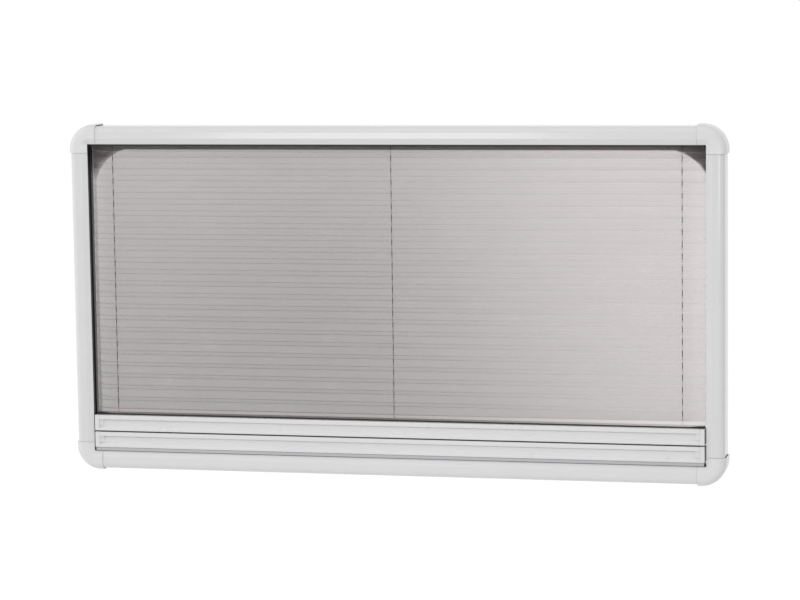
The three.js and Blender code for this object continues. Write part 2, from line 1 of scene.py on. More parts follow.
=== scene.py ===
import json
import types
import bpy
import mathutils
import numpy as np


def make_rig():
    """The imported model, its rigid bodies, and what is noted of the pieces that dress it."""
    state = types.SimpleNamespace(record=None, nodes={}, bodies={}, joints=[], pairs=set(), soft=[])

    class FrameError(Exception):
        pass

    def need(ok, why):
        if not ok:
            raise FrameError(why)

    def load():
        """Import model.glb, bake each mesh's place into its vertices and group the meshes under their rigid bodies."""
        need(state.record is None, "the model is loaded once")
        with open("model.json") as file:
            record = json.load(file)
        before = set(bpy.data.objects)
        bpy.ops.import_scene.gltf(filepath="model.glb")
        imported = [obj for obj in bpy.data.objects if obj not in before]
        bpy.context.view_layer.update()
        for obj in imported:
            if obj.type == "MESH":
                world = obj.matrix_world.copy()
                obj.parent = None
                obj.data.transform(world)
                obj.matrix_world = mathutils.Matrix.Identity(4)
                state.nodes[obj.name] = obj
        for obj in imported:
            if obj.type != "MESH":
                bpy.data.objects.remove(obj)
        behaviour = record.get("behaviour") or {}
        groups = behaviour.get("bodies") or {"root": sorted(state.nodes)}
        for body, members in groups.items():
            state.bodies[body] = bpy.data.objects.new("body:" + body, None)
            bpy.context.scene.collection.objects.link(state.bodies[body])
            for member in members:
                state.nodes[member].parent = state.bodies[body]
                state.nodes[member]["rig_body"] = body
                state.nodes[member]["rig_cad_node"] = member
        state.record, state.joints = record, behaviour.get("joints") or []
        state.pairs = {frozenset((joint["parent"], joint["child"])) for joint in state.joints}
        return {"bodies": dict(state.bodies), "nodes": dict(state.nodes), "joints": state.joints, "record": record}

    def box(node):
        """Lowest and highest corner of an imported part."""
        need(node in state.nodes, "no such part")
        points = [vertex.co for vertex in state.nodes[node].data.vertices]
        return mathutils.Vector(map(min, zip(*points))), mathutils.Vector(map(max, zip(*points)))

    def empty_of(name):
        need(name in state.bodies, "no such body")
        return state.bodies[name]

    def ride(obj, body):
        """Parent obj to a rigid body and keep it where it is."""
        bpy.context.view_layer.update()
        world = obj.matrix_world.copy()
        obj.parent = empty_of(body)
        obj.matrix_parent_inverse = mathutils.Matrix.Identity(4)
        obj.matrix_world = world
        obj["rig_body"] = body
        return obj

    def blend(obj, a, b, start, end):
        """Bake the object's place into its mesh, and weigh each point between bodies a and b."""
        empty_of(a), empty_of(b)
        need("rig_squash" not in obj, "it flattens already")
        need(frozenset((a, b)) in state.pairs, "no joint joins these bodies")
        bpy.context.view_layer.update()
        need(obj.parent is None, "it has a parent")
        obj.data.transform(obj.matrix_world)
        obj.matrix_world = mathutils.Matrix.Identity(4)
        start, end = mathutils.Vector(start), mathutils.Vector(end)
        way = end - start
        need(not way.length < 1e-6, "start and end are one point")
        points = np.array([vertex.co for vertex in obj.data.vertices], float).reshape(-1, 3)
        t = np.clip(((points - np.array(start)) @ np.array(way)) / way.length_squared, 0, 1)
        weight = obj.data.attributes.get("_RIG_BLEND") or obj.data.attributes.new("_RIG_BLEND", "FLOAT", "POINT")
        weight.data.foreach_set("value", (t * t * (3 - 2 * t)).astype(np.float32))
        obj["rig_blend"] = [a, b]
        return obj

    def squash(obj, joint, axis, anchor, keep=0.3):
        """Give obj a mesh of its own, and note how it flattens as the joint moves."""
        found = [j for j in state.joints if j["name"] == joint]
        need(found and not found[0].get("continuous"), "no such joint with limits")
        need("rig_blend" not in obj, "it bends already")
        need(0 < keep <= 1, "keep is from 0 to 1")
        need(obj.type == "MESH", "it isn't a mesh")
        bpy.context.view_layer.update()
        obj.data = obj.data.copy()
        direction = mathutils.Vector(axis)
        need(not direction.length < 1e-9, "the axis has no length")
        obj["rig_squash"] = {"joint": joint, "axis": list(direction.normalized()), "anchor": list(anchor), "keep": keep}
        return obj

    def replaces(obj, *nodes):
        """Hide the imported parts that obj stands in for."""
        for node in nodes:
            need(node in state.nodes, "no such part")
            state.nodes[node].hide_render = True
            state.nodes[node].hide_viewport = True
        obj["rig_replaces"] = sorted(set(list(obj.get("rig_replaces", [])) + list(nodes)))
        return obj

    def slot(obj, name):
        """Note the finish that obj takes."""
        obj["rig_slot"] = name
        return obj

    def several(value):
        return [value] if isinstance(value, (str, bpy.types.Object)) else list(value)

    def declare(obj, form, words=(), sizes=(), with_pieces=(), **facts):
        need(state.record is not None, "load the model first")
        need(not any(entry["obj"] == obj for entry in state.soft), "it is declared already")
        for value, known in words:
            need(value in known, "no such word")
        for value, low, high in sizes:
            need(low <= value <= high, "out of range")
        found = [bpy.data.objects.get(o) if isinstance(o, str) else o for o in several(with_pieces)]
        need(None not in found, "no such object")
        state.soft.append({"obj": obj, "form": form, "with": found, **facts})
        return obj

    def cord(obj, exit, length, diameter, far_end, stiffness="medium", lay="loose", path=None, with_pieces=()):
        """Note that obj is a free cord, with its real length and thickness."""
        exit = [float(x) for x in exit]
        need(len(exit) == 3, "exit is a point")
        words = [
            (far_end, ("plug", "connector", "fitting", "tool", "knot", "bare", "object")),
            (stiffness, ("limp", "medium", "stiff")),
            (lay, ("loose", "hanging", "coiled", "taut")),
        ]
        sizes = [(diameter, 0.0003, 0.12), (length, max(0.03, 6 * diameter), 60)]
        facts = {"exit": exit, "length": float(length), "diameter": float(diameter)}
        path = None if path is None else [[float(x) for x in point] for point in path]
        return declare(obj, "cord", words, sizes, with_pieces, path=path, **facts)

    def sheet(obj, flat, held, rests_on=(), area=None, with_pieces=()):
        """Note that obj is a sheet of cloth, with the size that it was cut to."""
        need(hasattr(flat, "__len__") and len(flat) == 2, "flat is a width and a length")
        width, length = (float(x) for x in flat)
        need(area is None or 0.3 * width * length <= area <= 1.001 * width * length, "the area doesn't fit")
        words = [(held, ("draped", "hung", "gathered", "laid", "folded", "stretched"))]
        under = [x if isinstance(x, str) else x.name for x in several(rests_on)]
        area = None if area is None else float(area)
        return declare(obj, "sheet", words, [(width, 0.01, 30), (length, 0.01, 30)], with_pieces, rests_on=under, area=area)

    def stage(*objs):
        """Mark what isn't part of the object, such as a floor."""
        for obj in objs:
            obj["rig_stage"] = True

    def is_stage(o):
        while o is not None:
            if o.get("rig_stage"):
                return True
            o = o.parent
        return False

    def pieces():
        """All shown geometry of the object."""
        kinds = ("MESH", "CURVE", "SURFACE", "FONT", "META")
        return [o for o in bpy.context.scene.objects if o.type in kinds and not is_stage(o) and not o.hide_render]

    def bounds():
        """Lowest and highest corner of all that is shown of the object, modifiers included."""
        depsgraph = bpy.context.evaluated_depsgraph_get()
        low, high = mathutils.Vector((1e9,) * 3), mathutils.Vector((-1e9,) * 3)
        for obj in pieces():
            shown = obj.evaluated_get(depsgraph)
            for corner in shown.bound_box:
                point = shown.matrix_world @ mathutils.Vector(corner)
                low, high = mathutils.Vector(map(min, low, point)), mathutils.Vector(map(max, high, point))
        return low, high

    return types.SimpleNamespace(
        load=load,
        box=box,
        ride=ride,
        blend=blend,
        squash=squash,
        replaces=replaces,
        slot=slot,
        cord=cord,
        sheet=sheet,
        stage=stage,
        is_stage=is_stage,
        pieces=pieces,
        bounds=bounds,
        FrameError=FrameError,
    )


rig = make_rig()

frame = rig.load()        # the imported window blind, the fixed frame that every piece is set into

import json
import math

import bmesh
import bpy
import numpy as np
from mathutils import Matrix

# Metres: X runs along the width, -Y is the room side and +Z is up. The wall plane is Y = 0.
# The sizes in the dictionaries are millimetres, and depths are measured from the wall towards the room.

mm = 0.001
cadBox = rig.bounds()
print("frame loaded:", len(frame["nodes"]), "nodes")


class Values(dict):
    # a dictionary whose entries are also read as attributes
    __getattr__ = dict.__getitem__


# Places that the pieces share

def middleOf(node):
    low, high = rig.box(node)
    return [(a + b) / 2 for a, b in zip(low, high)]


def sidesOf(node):
    # left, right, rear depth, front depth, bottom and top of a node's box, in mm
    low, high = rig.box(node)
    return low.x / mm, high.x / mm, -high.y / mm, -low.y / mm, low.z / mm, high.z / mm


def travelOf(lift):
    return next(joint for joint in frame["joints"] if joint["name"] == lift)["range_m"][1]


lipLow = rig.box("bottom_rail")[1].z      # the four lips bound the opening
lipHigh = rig.box("top_rail")[0].z
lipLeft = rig.box("left_rail")[1].x
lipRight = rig.box("right_rail")[0].x
lipMiddle = (lipLow + lipHigh) / 2
lipOf = {"bottom": (lipLow, -1), "top": (lipHigh, 1), "left": (lipLeft, -1), "right": (lipRight, 1)}
cordNames = ("left", "middle", "right")
cordPlaces = [middleOf("guide_cord_" + name)[0] for name in cordNames]
guideDepth = -middleOf("guide_cord_middle")[1] / mm


# Placing and finishing meshes

def placed(name, data):
    piece = bpy.data.objects.new(name, data)
    bpy.context.scene.collection.objects.link(piece)
    return piece


def meshOf(name, points, faces):
    mesh = bpy.data.meshes.new(name)
    mesh.from_pydata(points.reshape(-1, 3).tolist(), [], faces)
    return mesh


def smoothFaces(mesh, angle=34):
    mesh.polygons.foreach_set("use_smooth", np.ones(len(mesh.polygons), bool))
    mesh.set_sharp_from_angle(angle=math.radians(angle))


def closeUp(mesh):
    # doubles merged and every face turned outwards
    work = bmesh.new()
    work.from_mesh(mesh)
    bmesh.ops.remove_doubles(work, verts=work.verts, dist=1e-7)
    bmesh.ops.recalc_face_normals(work, faces=work.faces)
    if work.calc_volume(signed=True) < 0:
        bmesh.ops.reverse_faces(work, faces=work.faces)
    work.to_mesh(mesh)
    work.free()
    smoothFaces(mesh)


def settled(piece):
    # the piece's modifiers become its mesh
    graph = bpy.context.evaluated_depsgraph_get()
    mesh = bpy.data.meshes.new_from_object(piece.evaluated_get(graph))
    piece.modifiers.clear()
    piece.data = mesh
    closeUp(mesh)
    return piece


def combined(piece, others, operation):
    for other in others:
        step = piece.modifiers.new("join", "BOOLEAN")
        step.object = other
        step.operation = operation
        step.solver = "MANIFOLD"
    settled(piece)
    for other in others:
        bpy.data.objects.remove(other)
    return piece


def eased(piece, width, segments, angle=35):
    # edges sharper than the angle are rounded off
    ease = piece.modifiers.new("ease", "BEVEL")
    ease.width = width * mm
    ease.segments = segments
    ease.limit_method = "ANGLE"
    ease.angle_limit = math.radians(angle)
    return settled(piece)


# Surfaces

def gridFaces(rows, columns, wrap):
    # the quad of row i and column j joins its four neighbouring points
    across = columns if wrap else columns - 1
    i, j = np.meshgrid(np.arange(rows - 1), np.arange(across), indexing="ij")
    first = i * columns + j
    second = i * columns + (j + 1) % columns
    return np.stack([first, second, second + columns, first + columns], axis=-1).reshape(-1, 4)


def gridMap(across, along):
    # the same quads' corners on the flat map
    flat = np.stack(np.broadcast_arrays(across, along), axis=-1)
    return np.stack([flat[:-1, :-1], flat[:-1, 1:], flat[1:, 1:], flat[1:, :-1]], axis=2).reshape(-1, 2)


def fullTurn(sides):
    return np.linspace(0, 2 * math.pi, sides, endpoint=False)


def pointsAt(x, depth, z):
    # arrays or single numbers become an array of points
    return np.stack(np.broadcast_arrays(x, np.negative(depth), z), axis=-1)


def tube(name, points):
    # rings of points joined into a closed body with flat ends
    rows, columns = points.shape[:2]
    faces = gridFaces(rows, columns, True).tolist()
    faces.append(list(range(columns)))
    faces.append(list(range((rows - 1) * columns, rows * columns)))
    mesh = meshOf(name, points, faces)
    closeUp(mesh)
    return placed(name, mesh)


def unit(vectors):
    return vectors / np.linalg.norm(vectors, axis=-1, keepdims=True)


def roundedOutline(corners, steps=8, guard=0.04):
    # every corner (x, y, radius) becomes an arc that starts and ends radius / tan(half the inner angle)
    # from it, and a guard point beside each arc keeps the faces between the arcs flat
    corners = np.array(corners, float)
    points, radii = corners[:, :2], corners[:, 2:]
    before = unit(np.roll(points, 1, 0) - points)
    after = unit(np.roll(points, -1, 0) - points)
    half = np.arccos(np.clip(np.sum(before * after, 1, keepdims=True), -1, 1)) / 2
    start = points + before * radii / np.tan(half)
    end = points + after * radii / np.tan(half)
    centre = points + unit(before + after) * radii / np.sin(half)
    turn = (math.pi - 2 * half)[:, None]
    share = np.linspace(0, 1, steps + 1)[None, :, None]
    fromStart = (start - centre)[:, None] * np.sin((1 - share) * turn)
    fromEnd = (end - centre)[:, None] * np.sin(share * turn)
    arc = centre[:, None] + (fromStart + fromEnd) / np.sin(turn)
    guards = (start + before * guard)[:, None], (end + after * guard)[:, None]
    return np.concatenate([guards[0], arc, guards[1]], axis=1).reshape(-1, 2)


def plainOutline(back, front, low, high, radius, steps=5, guard=0.04):
    corners = [(back, low, radius), (front, low, radius), (front, high, radius), (back, high, radius)]
    return roundedOutline(corners, steps, guard)


def inward(outline, amount):
    # the outline moved into its own material by an amount, along the bisector at each point
    along = unit(unit(np.roll(outline, -1, 0) - outline) + unit(outline - np.roll(outline, 1, 0)))
    x, y = outline[:, 0], outline[:, 1]
    turning = np.sign(np.sum(x * np.roll(y, -1) - np.roll(x, -1) * y))
    return outline + turning * amount * np.stack([-along[:, 1], along[:, 0]], axis=1)


def edgeStations(radius, steps=4):
    # a rounded end: how far each ring stands from the end, and how far its outline lies inwards
    angle = np.linspace(0, math.pi / 2, steps + 1)
    return radius * (1 - np.sin(angle))[::-1], radius * (1 - np.cos(angle))[::-1]


def runAlong(name, outline, low, high, place, rounding=0.0):
    # an outline (mm) carried in a straight line from low to high, its ends rounded if asked
    if rounding:
        back, inset = edgeStations(rounding)
        flatEnds = [low + 2 * rounding, high - 2 * rounding]
        stations = np.concatenate([low + back, flatEnds, high - back[::-1]])
        insets = np.concatenate([inset, [0, 0], inset[::-1]])
    else:
        stations, insets = np.array([low, high]), np.zeros(2)
    rings = np.stack([place(inward(outline, inset), at) for at, inset in zip(stations, insets)])
    return tube(name, rings * mm)


def acrossWidth(outline, at):
    # (depth, height) outlines run along X
    return pointsAt(at, *outline.T)


def roundCutter(x, across, ends, radius, axis, sides=32):
    # a circle round (x, across) carried between two ends along Y (axis 1) or Z (axis 2)
    rings = np.zeros((2, sides, 3))
    rings[..., 0] = x + radius * np.cos(fullTurn(sides))
    rings[..., 3 - axis] = across + radius * np.sin(fullTurn(sides))
    rings[..., axis] = np.array(ends)[:, None]
    return tube("cutter", rings * mm)


# Materials

def addNode(tree, kind, inputs=None, **settings):
    node = tree.nodes.new("ShaderNode" + kind)
    for name, value in settings.items():
        setattr(node, name, value)
    for name, value in (inputs or {}).items():
        if isinstance(value, bpy.types.NodeSocket):
            tree.links.new(value, node.inputs[name])
        else:
            node.inputs[name].default_value = value
    return node


def emptyTree(owner):
    owner.use_nodes = True
    owner.node_tree.nodes.clear()
    return owner.node_tree


def firstOf(tree, kind, inputs=None, **settings):
    return addNode(tree, kind, inputs, **settings).outputs[0]


def makeMaterial(name, shading, look):
    material = bpy.data.materials.new(name)
    tree = emptyTree(material)
    addNode(tree, "OutputMaterial", {"Surface": shading(tree, look)})
    return material


def maths(tree, operation, first, second=0.0):
    return firstOf(tree, "Math", {0: first, 1: second}, operation=operation)


def times(tree, first, second):
    return maths(tree, "MULTIPLY", first, second)


def spread(tree, value, low, high, fromLow=0.0, fromHigh=1.0):
    inputs = {"Value": value, "From Min": fromLow, "From Max": fromHigh, "To Min": low, "To Max": high}
    return firstOf(tree, "MapRange", inputs)


def noise(tree, vector, scale, detail=3.0, roughness=0.55):
    inputs = {"Vector": vector, "Scale": scale, "Detail": detail, "Roughness": roughness}
    return addNode(tree, "TexNoise", inputs).outputs["Fac"]


def mixColours(tree, factor, first, second):
    node = addNode(tree, "Mix", data_type="RGBA")
    for socket, value in ((node.inputs[0], factor), (node.inputs[6], first), (node.inputs[7], second)):
        if isinstance(value, bpy.types.NodeSocket):
            tree.links.new(value, socket)
        else:
            socket.default_value = (*value, 1) if isinstance(value, tuple) else value
    return node.outputs[2]


def toned(colour, share):
    return tuple(channel * share for channel in colour)


def stretched(tree, place, scale):
    # fine lines: noise on the place stretched by three scales
    drawn = firstOf(tree, "Mapping", {"Vector": place, "Scale": scale})
    return noise(tree, drawn, 1.0, 2.0)


def skin(tree, colour, rough, relief, others=None):
    # a principled shader, with the height, strength and distance of its relief
    bump = addNode(tree, "Bump", dict(zip(("Height", "Strength", "Distance"), relief)))
    inputs = {"Base Color": colour, "Roughness": rough, "Normal": bump.outputs[0], **(others or {})}
    return firstOf(tree, "BsdfPrincipled", inputs)


# peel is (scale, height), draw is (axis, scale, height)
coatBasis = Values(
    drift=0.02, driftScale=9.0, driftFrom=(0.3, 0.7), marks=0.5, markScale=55.0, markFrom=(0.62, 0.74),
    markTone=0.93, markRough=0.06, drawRun=1.5, relief=0.001)
coatLooks = {
    "frame_white": dict(colour=(0.664, 0.664, 0.664), rough=(0.11, 0.16), peel=(620.0, 0.012),
        draw=(0, 520.0, 0.006)),
    # the upright rails take a darker copy of the frame white: painted shade for the less light that falls on the side
    # rails
    "frame_white_upright": dict(colour=(0.645, 0.645, 0.645), rough=(0.11, 0.16), peel=(620.0, 0.012),
        draw=(2, 520.0, 0.006)),
    "cap_white": dict(colour=(0.668, 0.668, 0.668), rough=(0.22, 0.3), peel=(1100.0, 0.014),
        draw=(1, 90.0, 0.006)),
    "bar_white": dict(colour=(0.676, 0.676, 0.676), rough=(0.24, 0.31), marks=0.55, peel=(700.0, 0.014),
        draw=(0, 900.0, 0.014)),
    "bar_end_white": dict(colour=(0.665, 0.665, 0.665), rough=(0.33, 0.41), peel=(1300.0, 0.014),
        draw=(1, 120.0, 0.006)),
    "track_black": dict(colour=(0.0085, 0.0085, 0.0095), rough=(0.42, 0.55), drift=0.25, marks=0.4,
        peel=(900.0, 0.02), draw=(2, 700.0, 0.03)),
    "dark_plastic": dict(colour=(0.019, 0.018, 0.019), rough=(0.5, 0.62), drift=0.2, peel=(1500.0, 0.04),
        draw=(0, 300.0, 0.012)),
    "seal_brown": dict(colour=(0.026, 0.021, 0.019), rough=(0.8, 0.92), drift=0.35, marks=0.3,
        peel=(2600.0, 0.16), draw=(1, 900.0, 0.05)),
    "strip_grey": dict(colour=(0.455, 0.455, 0.468), rough=(0.45, 0.55), drift=0.05, peel=(1200.0, 0.02),
        draw=(0, 600.0, 0.02)),
}
metalBasis = Values(
    patchTone=0.84, patchRough=0.08, brushScale=(1500.0, 1500.0, 60.0), dullScale=160.0,
    tarnishFrom=(0.5, 0.75), tarnishMost=0.5, relief=0.00005)
metalLooks = {
    "bracket_zinc": dict(colour=(0.58, 0.6, 0.62), tarnish=(0.4, 0.41, 0.42), rough=(0.3, 0.5),
        patchScale=260.0),
    "plain_steel": dict(colour=(0.62, 0.62, 0.61), tarnish=(0.42, 0.4, 0.38), rough=(0.22, 0.4),
        patchScale=900.0),
}


def coatedFinish(tree, look):
    # a sprayed or moulded skin: slow tone drift, fine peel, lengthwise draw lines and a few soft marks
    place = addNode(tree, "TexCoord").outputs["Object"]
    drift = noise(tree, place, look.driftScale, 4.0)
    peelScale, peelHeight = look.peel
    drawAxis, drawScale, drawHeight = look.draw
    fine = noise(tree, place, peelScale, 2.0)
    lines = stretched(tree, place, tuple(look.drawRun if axis == drawAxis else drawScale for axis in range(3)))
    marks = spread(tree, noise(tree, place, look.markScale, 5.0, 0.7), 0.0, 1.0, *look.markFrom)
    light = look.colour
    lightness = spread(tree, drift, 0.0, 1.0, *look.driftFrom)
    colour = mixColours(tree, lightness, toned(light, 1 - look.drift), light)
    stain = times(tree, marks, look.marks)
    colour = mixColours(tree, stain, colour, toned(light, look.markTone))
    rough = maths(tree, "ADD", spread(tree, drift, *look.rough, *look.driftFrom),
                  times(tree, marks, look.markRough))
    height = maths(tree, "ADD", times(tree, fine, peelHeight),
                   times(tree, lines, drawHeight))
    return skin(tree, colour, rough, (height, 1.0, look.relief))


def metalFinish(tree, look):
    # bare or plated metal: crystal patches, brushed lines and dull spots
    place = addNode(tree, "TexCoord").outputs["Object"]
    patches = addNode(tree, "TexVoronoi", {"Vector": place, "Scale": look.patchScale})
    patch = firstOf(tree, "SeparateColor", {"Color": patches.outputs["Color"]})
    lines = stretched(tree, place, look.brushScale)
    dull = noise(tree, place, look.dullScale, 4.0)
    colour = mixColours(tree, patch, toned(look.colour, look.patchTone), look.colour)
    tarnish = spread(tree, dull, 0.0, look.tarnishMost, *look.tarnishFrom)
    colour = mixColours(tree, tarnish, colour, look.tarnish)
    rough = maths(tree, "ADD", spread(tree, dull, *look.rough),
                  times(tree, patch, look.patchRough))
    return skin(tree, colour, rough, (lines, 0.3, look.relief), {"Metallic": 1.0})


netLook = Values(
    colour=(0.198, 0.172, 0.17), tone=0.9, glow=(0.73, 0.69, 0.687), glowShare=0.19, mesh=1.5, open=0.29,
    openSwing=0.16, wavesFrom=(-0.6, 1.0), creaseClosed=0.85, driftScale=14.0, openDrift=(0.97, 1.03),
    rough=0.75, gloss=0.2, relief=0.0001)
blackoutLook = Values(
    colour=(0.6, 0.6, 0.63), tone=0.86, weave=0.45, slubScale=420.0, driftScale=20.0, rough=0.8, gloss=0.25,
    sheen=0.15, relief=0.00008)
braidLook = Values(
    colour=(0.018, 0.017, 0.017), fleck=(0.16, 0.155, 0.15), fleckScale=260.0, fleckFrom=(0.5, 0.68),
    strands=4, strandPitch=2.6, rough=0.65, sheen=0.2, relief=0.00012)


def clothPlace(tree):
    # the place on the flat cloth, and its two parts: across and along
    flat = firstOf(tree, "UVMap", uv_map="clothMap")
    parts = addNode(tree, "SeparateXYZ", {"Vector": flat})
    return flat, parts.outputs[0], parts.outputs[1]


def wave(tree, operation, part, pitch):
    # the sine or cosine of the place, which comes back after a pitch in mm
    return maths(tree, operation, times(tree, part, 2 * math.pi / (pitch * mm)))


def netFinish(tree, look):
    # fine square mesh: threads where a cosine of the flat place is high, holes between, closed up at the folds
    flat, across, along = clothPlace(tree)
    threads = maths(tree, "MAXIMUM", wave(tree, "COSINE", across, look.mesh),
                    wave(tree, "COSINE", along, look.mesh))
    crease = addNode(tree, "Attribute", attribute_name="crease").outputs["Fac"]
    drift = noise(tree, flat, look.driftScale)
    most, least = look.open + look.openSwing, look.open - look.openSwing
    hole = spread(tree, threads, most, least, *look.wavesFrom)
    hole = times(tree, hole, spread(tree, crease, 1.0, 1 - look.creaseClosed))
    hole = times(tree, hole, spread(tree, drift, *look.openDrift, 0.3, 0.7))
    colour = mixColours(tree, drift, toned(look.colour, look.tone), look.colour)
    body = skin(tree, colour, look.rough, (threads, 0.5, look.relief), {"Specular IOR Level": look.gloss})
    glow = firstOf(tree, "BsdfTranslucent", {"Color": (*look.glow, 1)})
    cloth = firstOf(tree, "MixShader", {0: look.glowShare, 1: body, 2: glow})
    clear = firstOf(tree, "BsdfTransparent")
    return firstOf(tree, "MixShader", {0: hole, 1: cloth, 2: clear})


def blackoutFinish(tree, look):
    # close plain weave: over and under threads as a product of two sines, with slubs and a slow drift
    flat, across, along = clothPlace(tree)
    threads = times(tree, wave(tree, "SINE", across, look.weave),
                    wave(tree, "SINE", along, look.weave))
    slubs = noise(tree, flat, look.slubScale)
    drift = noise(tree, flat, look.driftScale)
    height = maths(tree, "ADD", times(tree, threads, 0.5), slubs)
    tone = maths(tree, "ADD", times(tree, slubs, 0.5), times(tree, drift, 0.5))
    colour = mixColours(tree, tone, toned(look.colour, look.tone), look.colour)
    return skin(tree, colour, look.rough, (height, 0.6, look.relief),
                {"Specular IOR Level": look.gloss, "Sheen Weight": look.sheen})


def braidFinish(tree, look):
    # strands wound both ways: the two diagonals of the flat place, dark with paler flecks
    flat, across, along = clothPlace(tree)
    turns = times(tree, across, look.strands * 2 * math.pi)
    rise = times(tree, along, 2 * math.pi / (look.strandPitch * mm))
    oneWay = maths(tree, "SINE", maths(tree, "ADD", turns, rise))
    otherWay = maths(tree, "SINE", maths(tree, "SUBTRACT", turns, rise))
    strands = times(tree, oneWay, otherWay)
    flecks = spread(tree, noise(tree, flat, look.fleckScale, 4.0, 0.75), 0.0, 1.0, *look.fleckFrom)
    colour = mixColours(tree, flecks, look.colour, look.fleck)
    return skin(tree, colour, look.rough, (strands, 0.6, look.relief), {"Sheen Weight": look.sheen})


finishes = {}
for name, look in coatLooks.items():
    finishes[name] = makeMaterial(name, coatedFinish, Values(coatBasis, **look))
for name, look in metalLooks.items():
    finishes[name] = makeMaterial(name, metalFinish, Values(metalBasis, **look))
for name, finish, look in (("net_grey", netFinish, netLook), ("blackout_grey", blackoutFinish, blackoutLook),
                           ("cord_black", braidFinish, braidLook)):
    finishes[name] = makeMaterial(name, finish, look)
print("materials made:", len(finishes))


def dressed(piece, body, slot, node, finish=None):
    # most finishes have the name of their slot
    piece.data.materials.clear()
    piece.data.materials.append(finishes[finish or slot])
    if body:
        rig.ride(piece, body)
    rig.slot(piece, slot)
    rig.replaces(piece, node)
    return piece


def softPiece(node, name, body, slot, edge, segments=2):
    # a merged copy of a CAD node with its edges eased
    mesh = frame["nodes"][node].data.copy()
    mesh.name = name
    work = bmesh.new()
    work.from_mesh(mesh)
    bmesh.ops.remove_doubles(work, verts=work.verts, dist=1e-6)
    bmesh.ops.dissolve_limit(work, angle_limit=math.radians(1), verts=work.verts, edges=work.edges)
    work.to_mesh(mesh)
    work.free()
    return dressed(eased(placed(name, mesh), edge, segments), body, slot, node)


# Camera, first, in the photograph's place

viewPlace = Values(
    right=(0.9735, 0.2284, -0.0135), up=(-0.0137, 0.1173, 0.9930), back=(0.2284, -0.9665, 0.1173),
    position=(1.048, -4.413, 0.7995), lens=128.7, sensor=36.0, far=100.0)


def turnedTo(right, up, back, position):
    # the matrix whose columns are the three directions and the place
    columns = np.eye(4)
    for column, axis in enumerate((right, up, back, position)):
        columns[:3, column] = axis
    return Matrix(columns.tolist())


def placeCamera(place):
    camera = placed("viewCamera", bpy.data.cameras.new("viewCamera"))
    camera.data.sensor_fit = "HORIZONTAL"
    camera.data.sensor_width = place.sensor
    camera.data.lens = place.lens
    camera.data.clip_end = place.far
    camera.matrix_world = turnedTo(place.right, place.up, place.back, place.position)
    bpy.context.scene.camera = camera


placeCamera(viewPlace)


# Guide cords: taut braided cords from the bottom rail to the springs in the top rail

cordSize = Values(sides=12, rowStep=0.55, strandHeight=0.06, smoothAngle=60, pathParts=20)


def braidedCord(name, node, size, look):
    # radius = mean radius * (1 + height * sin(strands * angle + rise) * sin(strands * angle - rise))
    low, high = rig.box(node)
    centreX, centreY = middleOf(node)[:2]
    radius = (high.x - low.x) / 2
    sides, rows = size.sides, int((high.z - low.z) / (size.rowStep * mm))
    z = np.linspace(low.z, high.z, rows)[:, None]
    angle = fullTurn(sides)[None, :]
    turns, rise = look.strands * angle, 2 * math.pi * z / (look.strandPitch * mm)
    r = radius * (1 + size.strandHeight * np.sin(turns + rise) * np.sin(turns - rise))
    points = pointsAt(centreX + r * np.cos(angle), -centreY - r * np.sin(angle), z)
    ends = [list(range(sides))[::-1], list(range((rows - 1) * sides, rows * sides))]
    mesh = meshOf(name, points, gridFaces(rows, sides, True).tolist() + ends)
    flat = gridMap(np.linspace(0, 1, sides + 1)[None, :], z)
    values = np.zeros((len(mesh.loops), 2), np.float32)
    values[:len(flat)] = flat
    mesh.uv_layers.new(name="clothMap").data.foreach_set("uv", values.ravel())
    smoothFaces(mesh, size.smoothAngle)
    parts = size.pathParts
    path = [(centreX, centreY, low.z + (high.z - low.z) * k / parts) for k in range(parts + 1)]
    return placed(name, mesh), path, 2 * radius


for name in cordNames:
    cordPiece, cordPath, cordDiameter = braidedCord("cord_braid_" + name, "guide_cord_" + name,
                                                    cordSize, braidLook)
    dressed(cordPiece, "frame", "cord_black", "guide_cord_" + name)
    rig.cord(cordPiece, exit=cordPath[0], length=cordPath[-1][2] - cordPath[0][2], diameter=cordDiameter,
            far_end="object", stiffness="limp", lay="taut", path=cordPath,
            with_pieces=["upper_ferrule_" + name, "lower_ferrule_" + name])
print("guide cords made")


# Frame: four rails and four corner caps of one hollow channel section

frameSize = Values(
    face=29.0, front=45.0, edge=10.0, lip=41.0, slopeRun=9.2, wall=2.0, reveal=15.5, blend=4.0, lipEdge=0.45,
    rearEdge=0.5, revealEdge=0.4, legCorner=0.3, sideCorner=0.6, innerBlend=2.0, innerLip=0.4, steps=9)
capSize = Values(
    face=31.6, front=46.2, edge=12.6, radius=40.0, lipRadius=0.6, leg=14.0, legPlain=1.2, steps=30,
    rounding=0.42)
railHoles = Values(
    level=(-390, -130, 130, 390), upright=(-140, 140), wallRadius=2.3, screwAt=40.0, screwRadius=1.9,
    headRadius=3.5, headDepth=1.4, over=4.0)


def channelOutline(size, part):
    # (distance outside the lip, depth, radius): sloped lip, flat front band, rounded outer edge, side
    # wall, rear leg and short reveal, with the same walls inside
    face, front, edge = part.face, part.front, part.edge
    wall, lip, run, reveal = size.wall, size.lip, size.slopeRun, size.reveal
    lean = math.atan2(front - lip, run)
    return roundedOutline([
        (0, lip, size.lipEdge), (run, front, size.blend),
        (face, front, edge), (face, 0, size.rearEdge),
        (0, 0, size.rearEdge), (0, reveal, size.revealEdge),
        (wall, reveal, size.revealEdge), (wall, wall, size.legCorner),
        (face - wall, wall, size.sideCorner), (face - wall, front - wall, edge - wall),
        (run + wall * math.tan(lean / 2), front - wall, size.innerBlend),
        (wall * math.sin(lean), lip - wall * math.cos(lean), size.innerLip),
    ], size.steps)


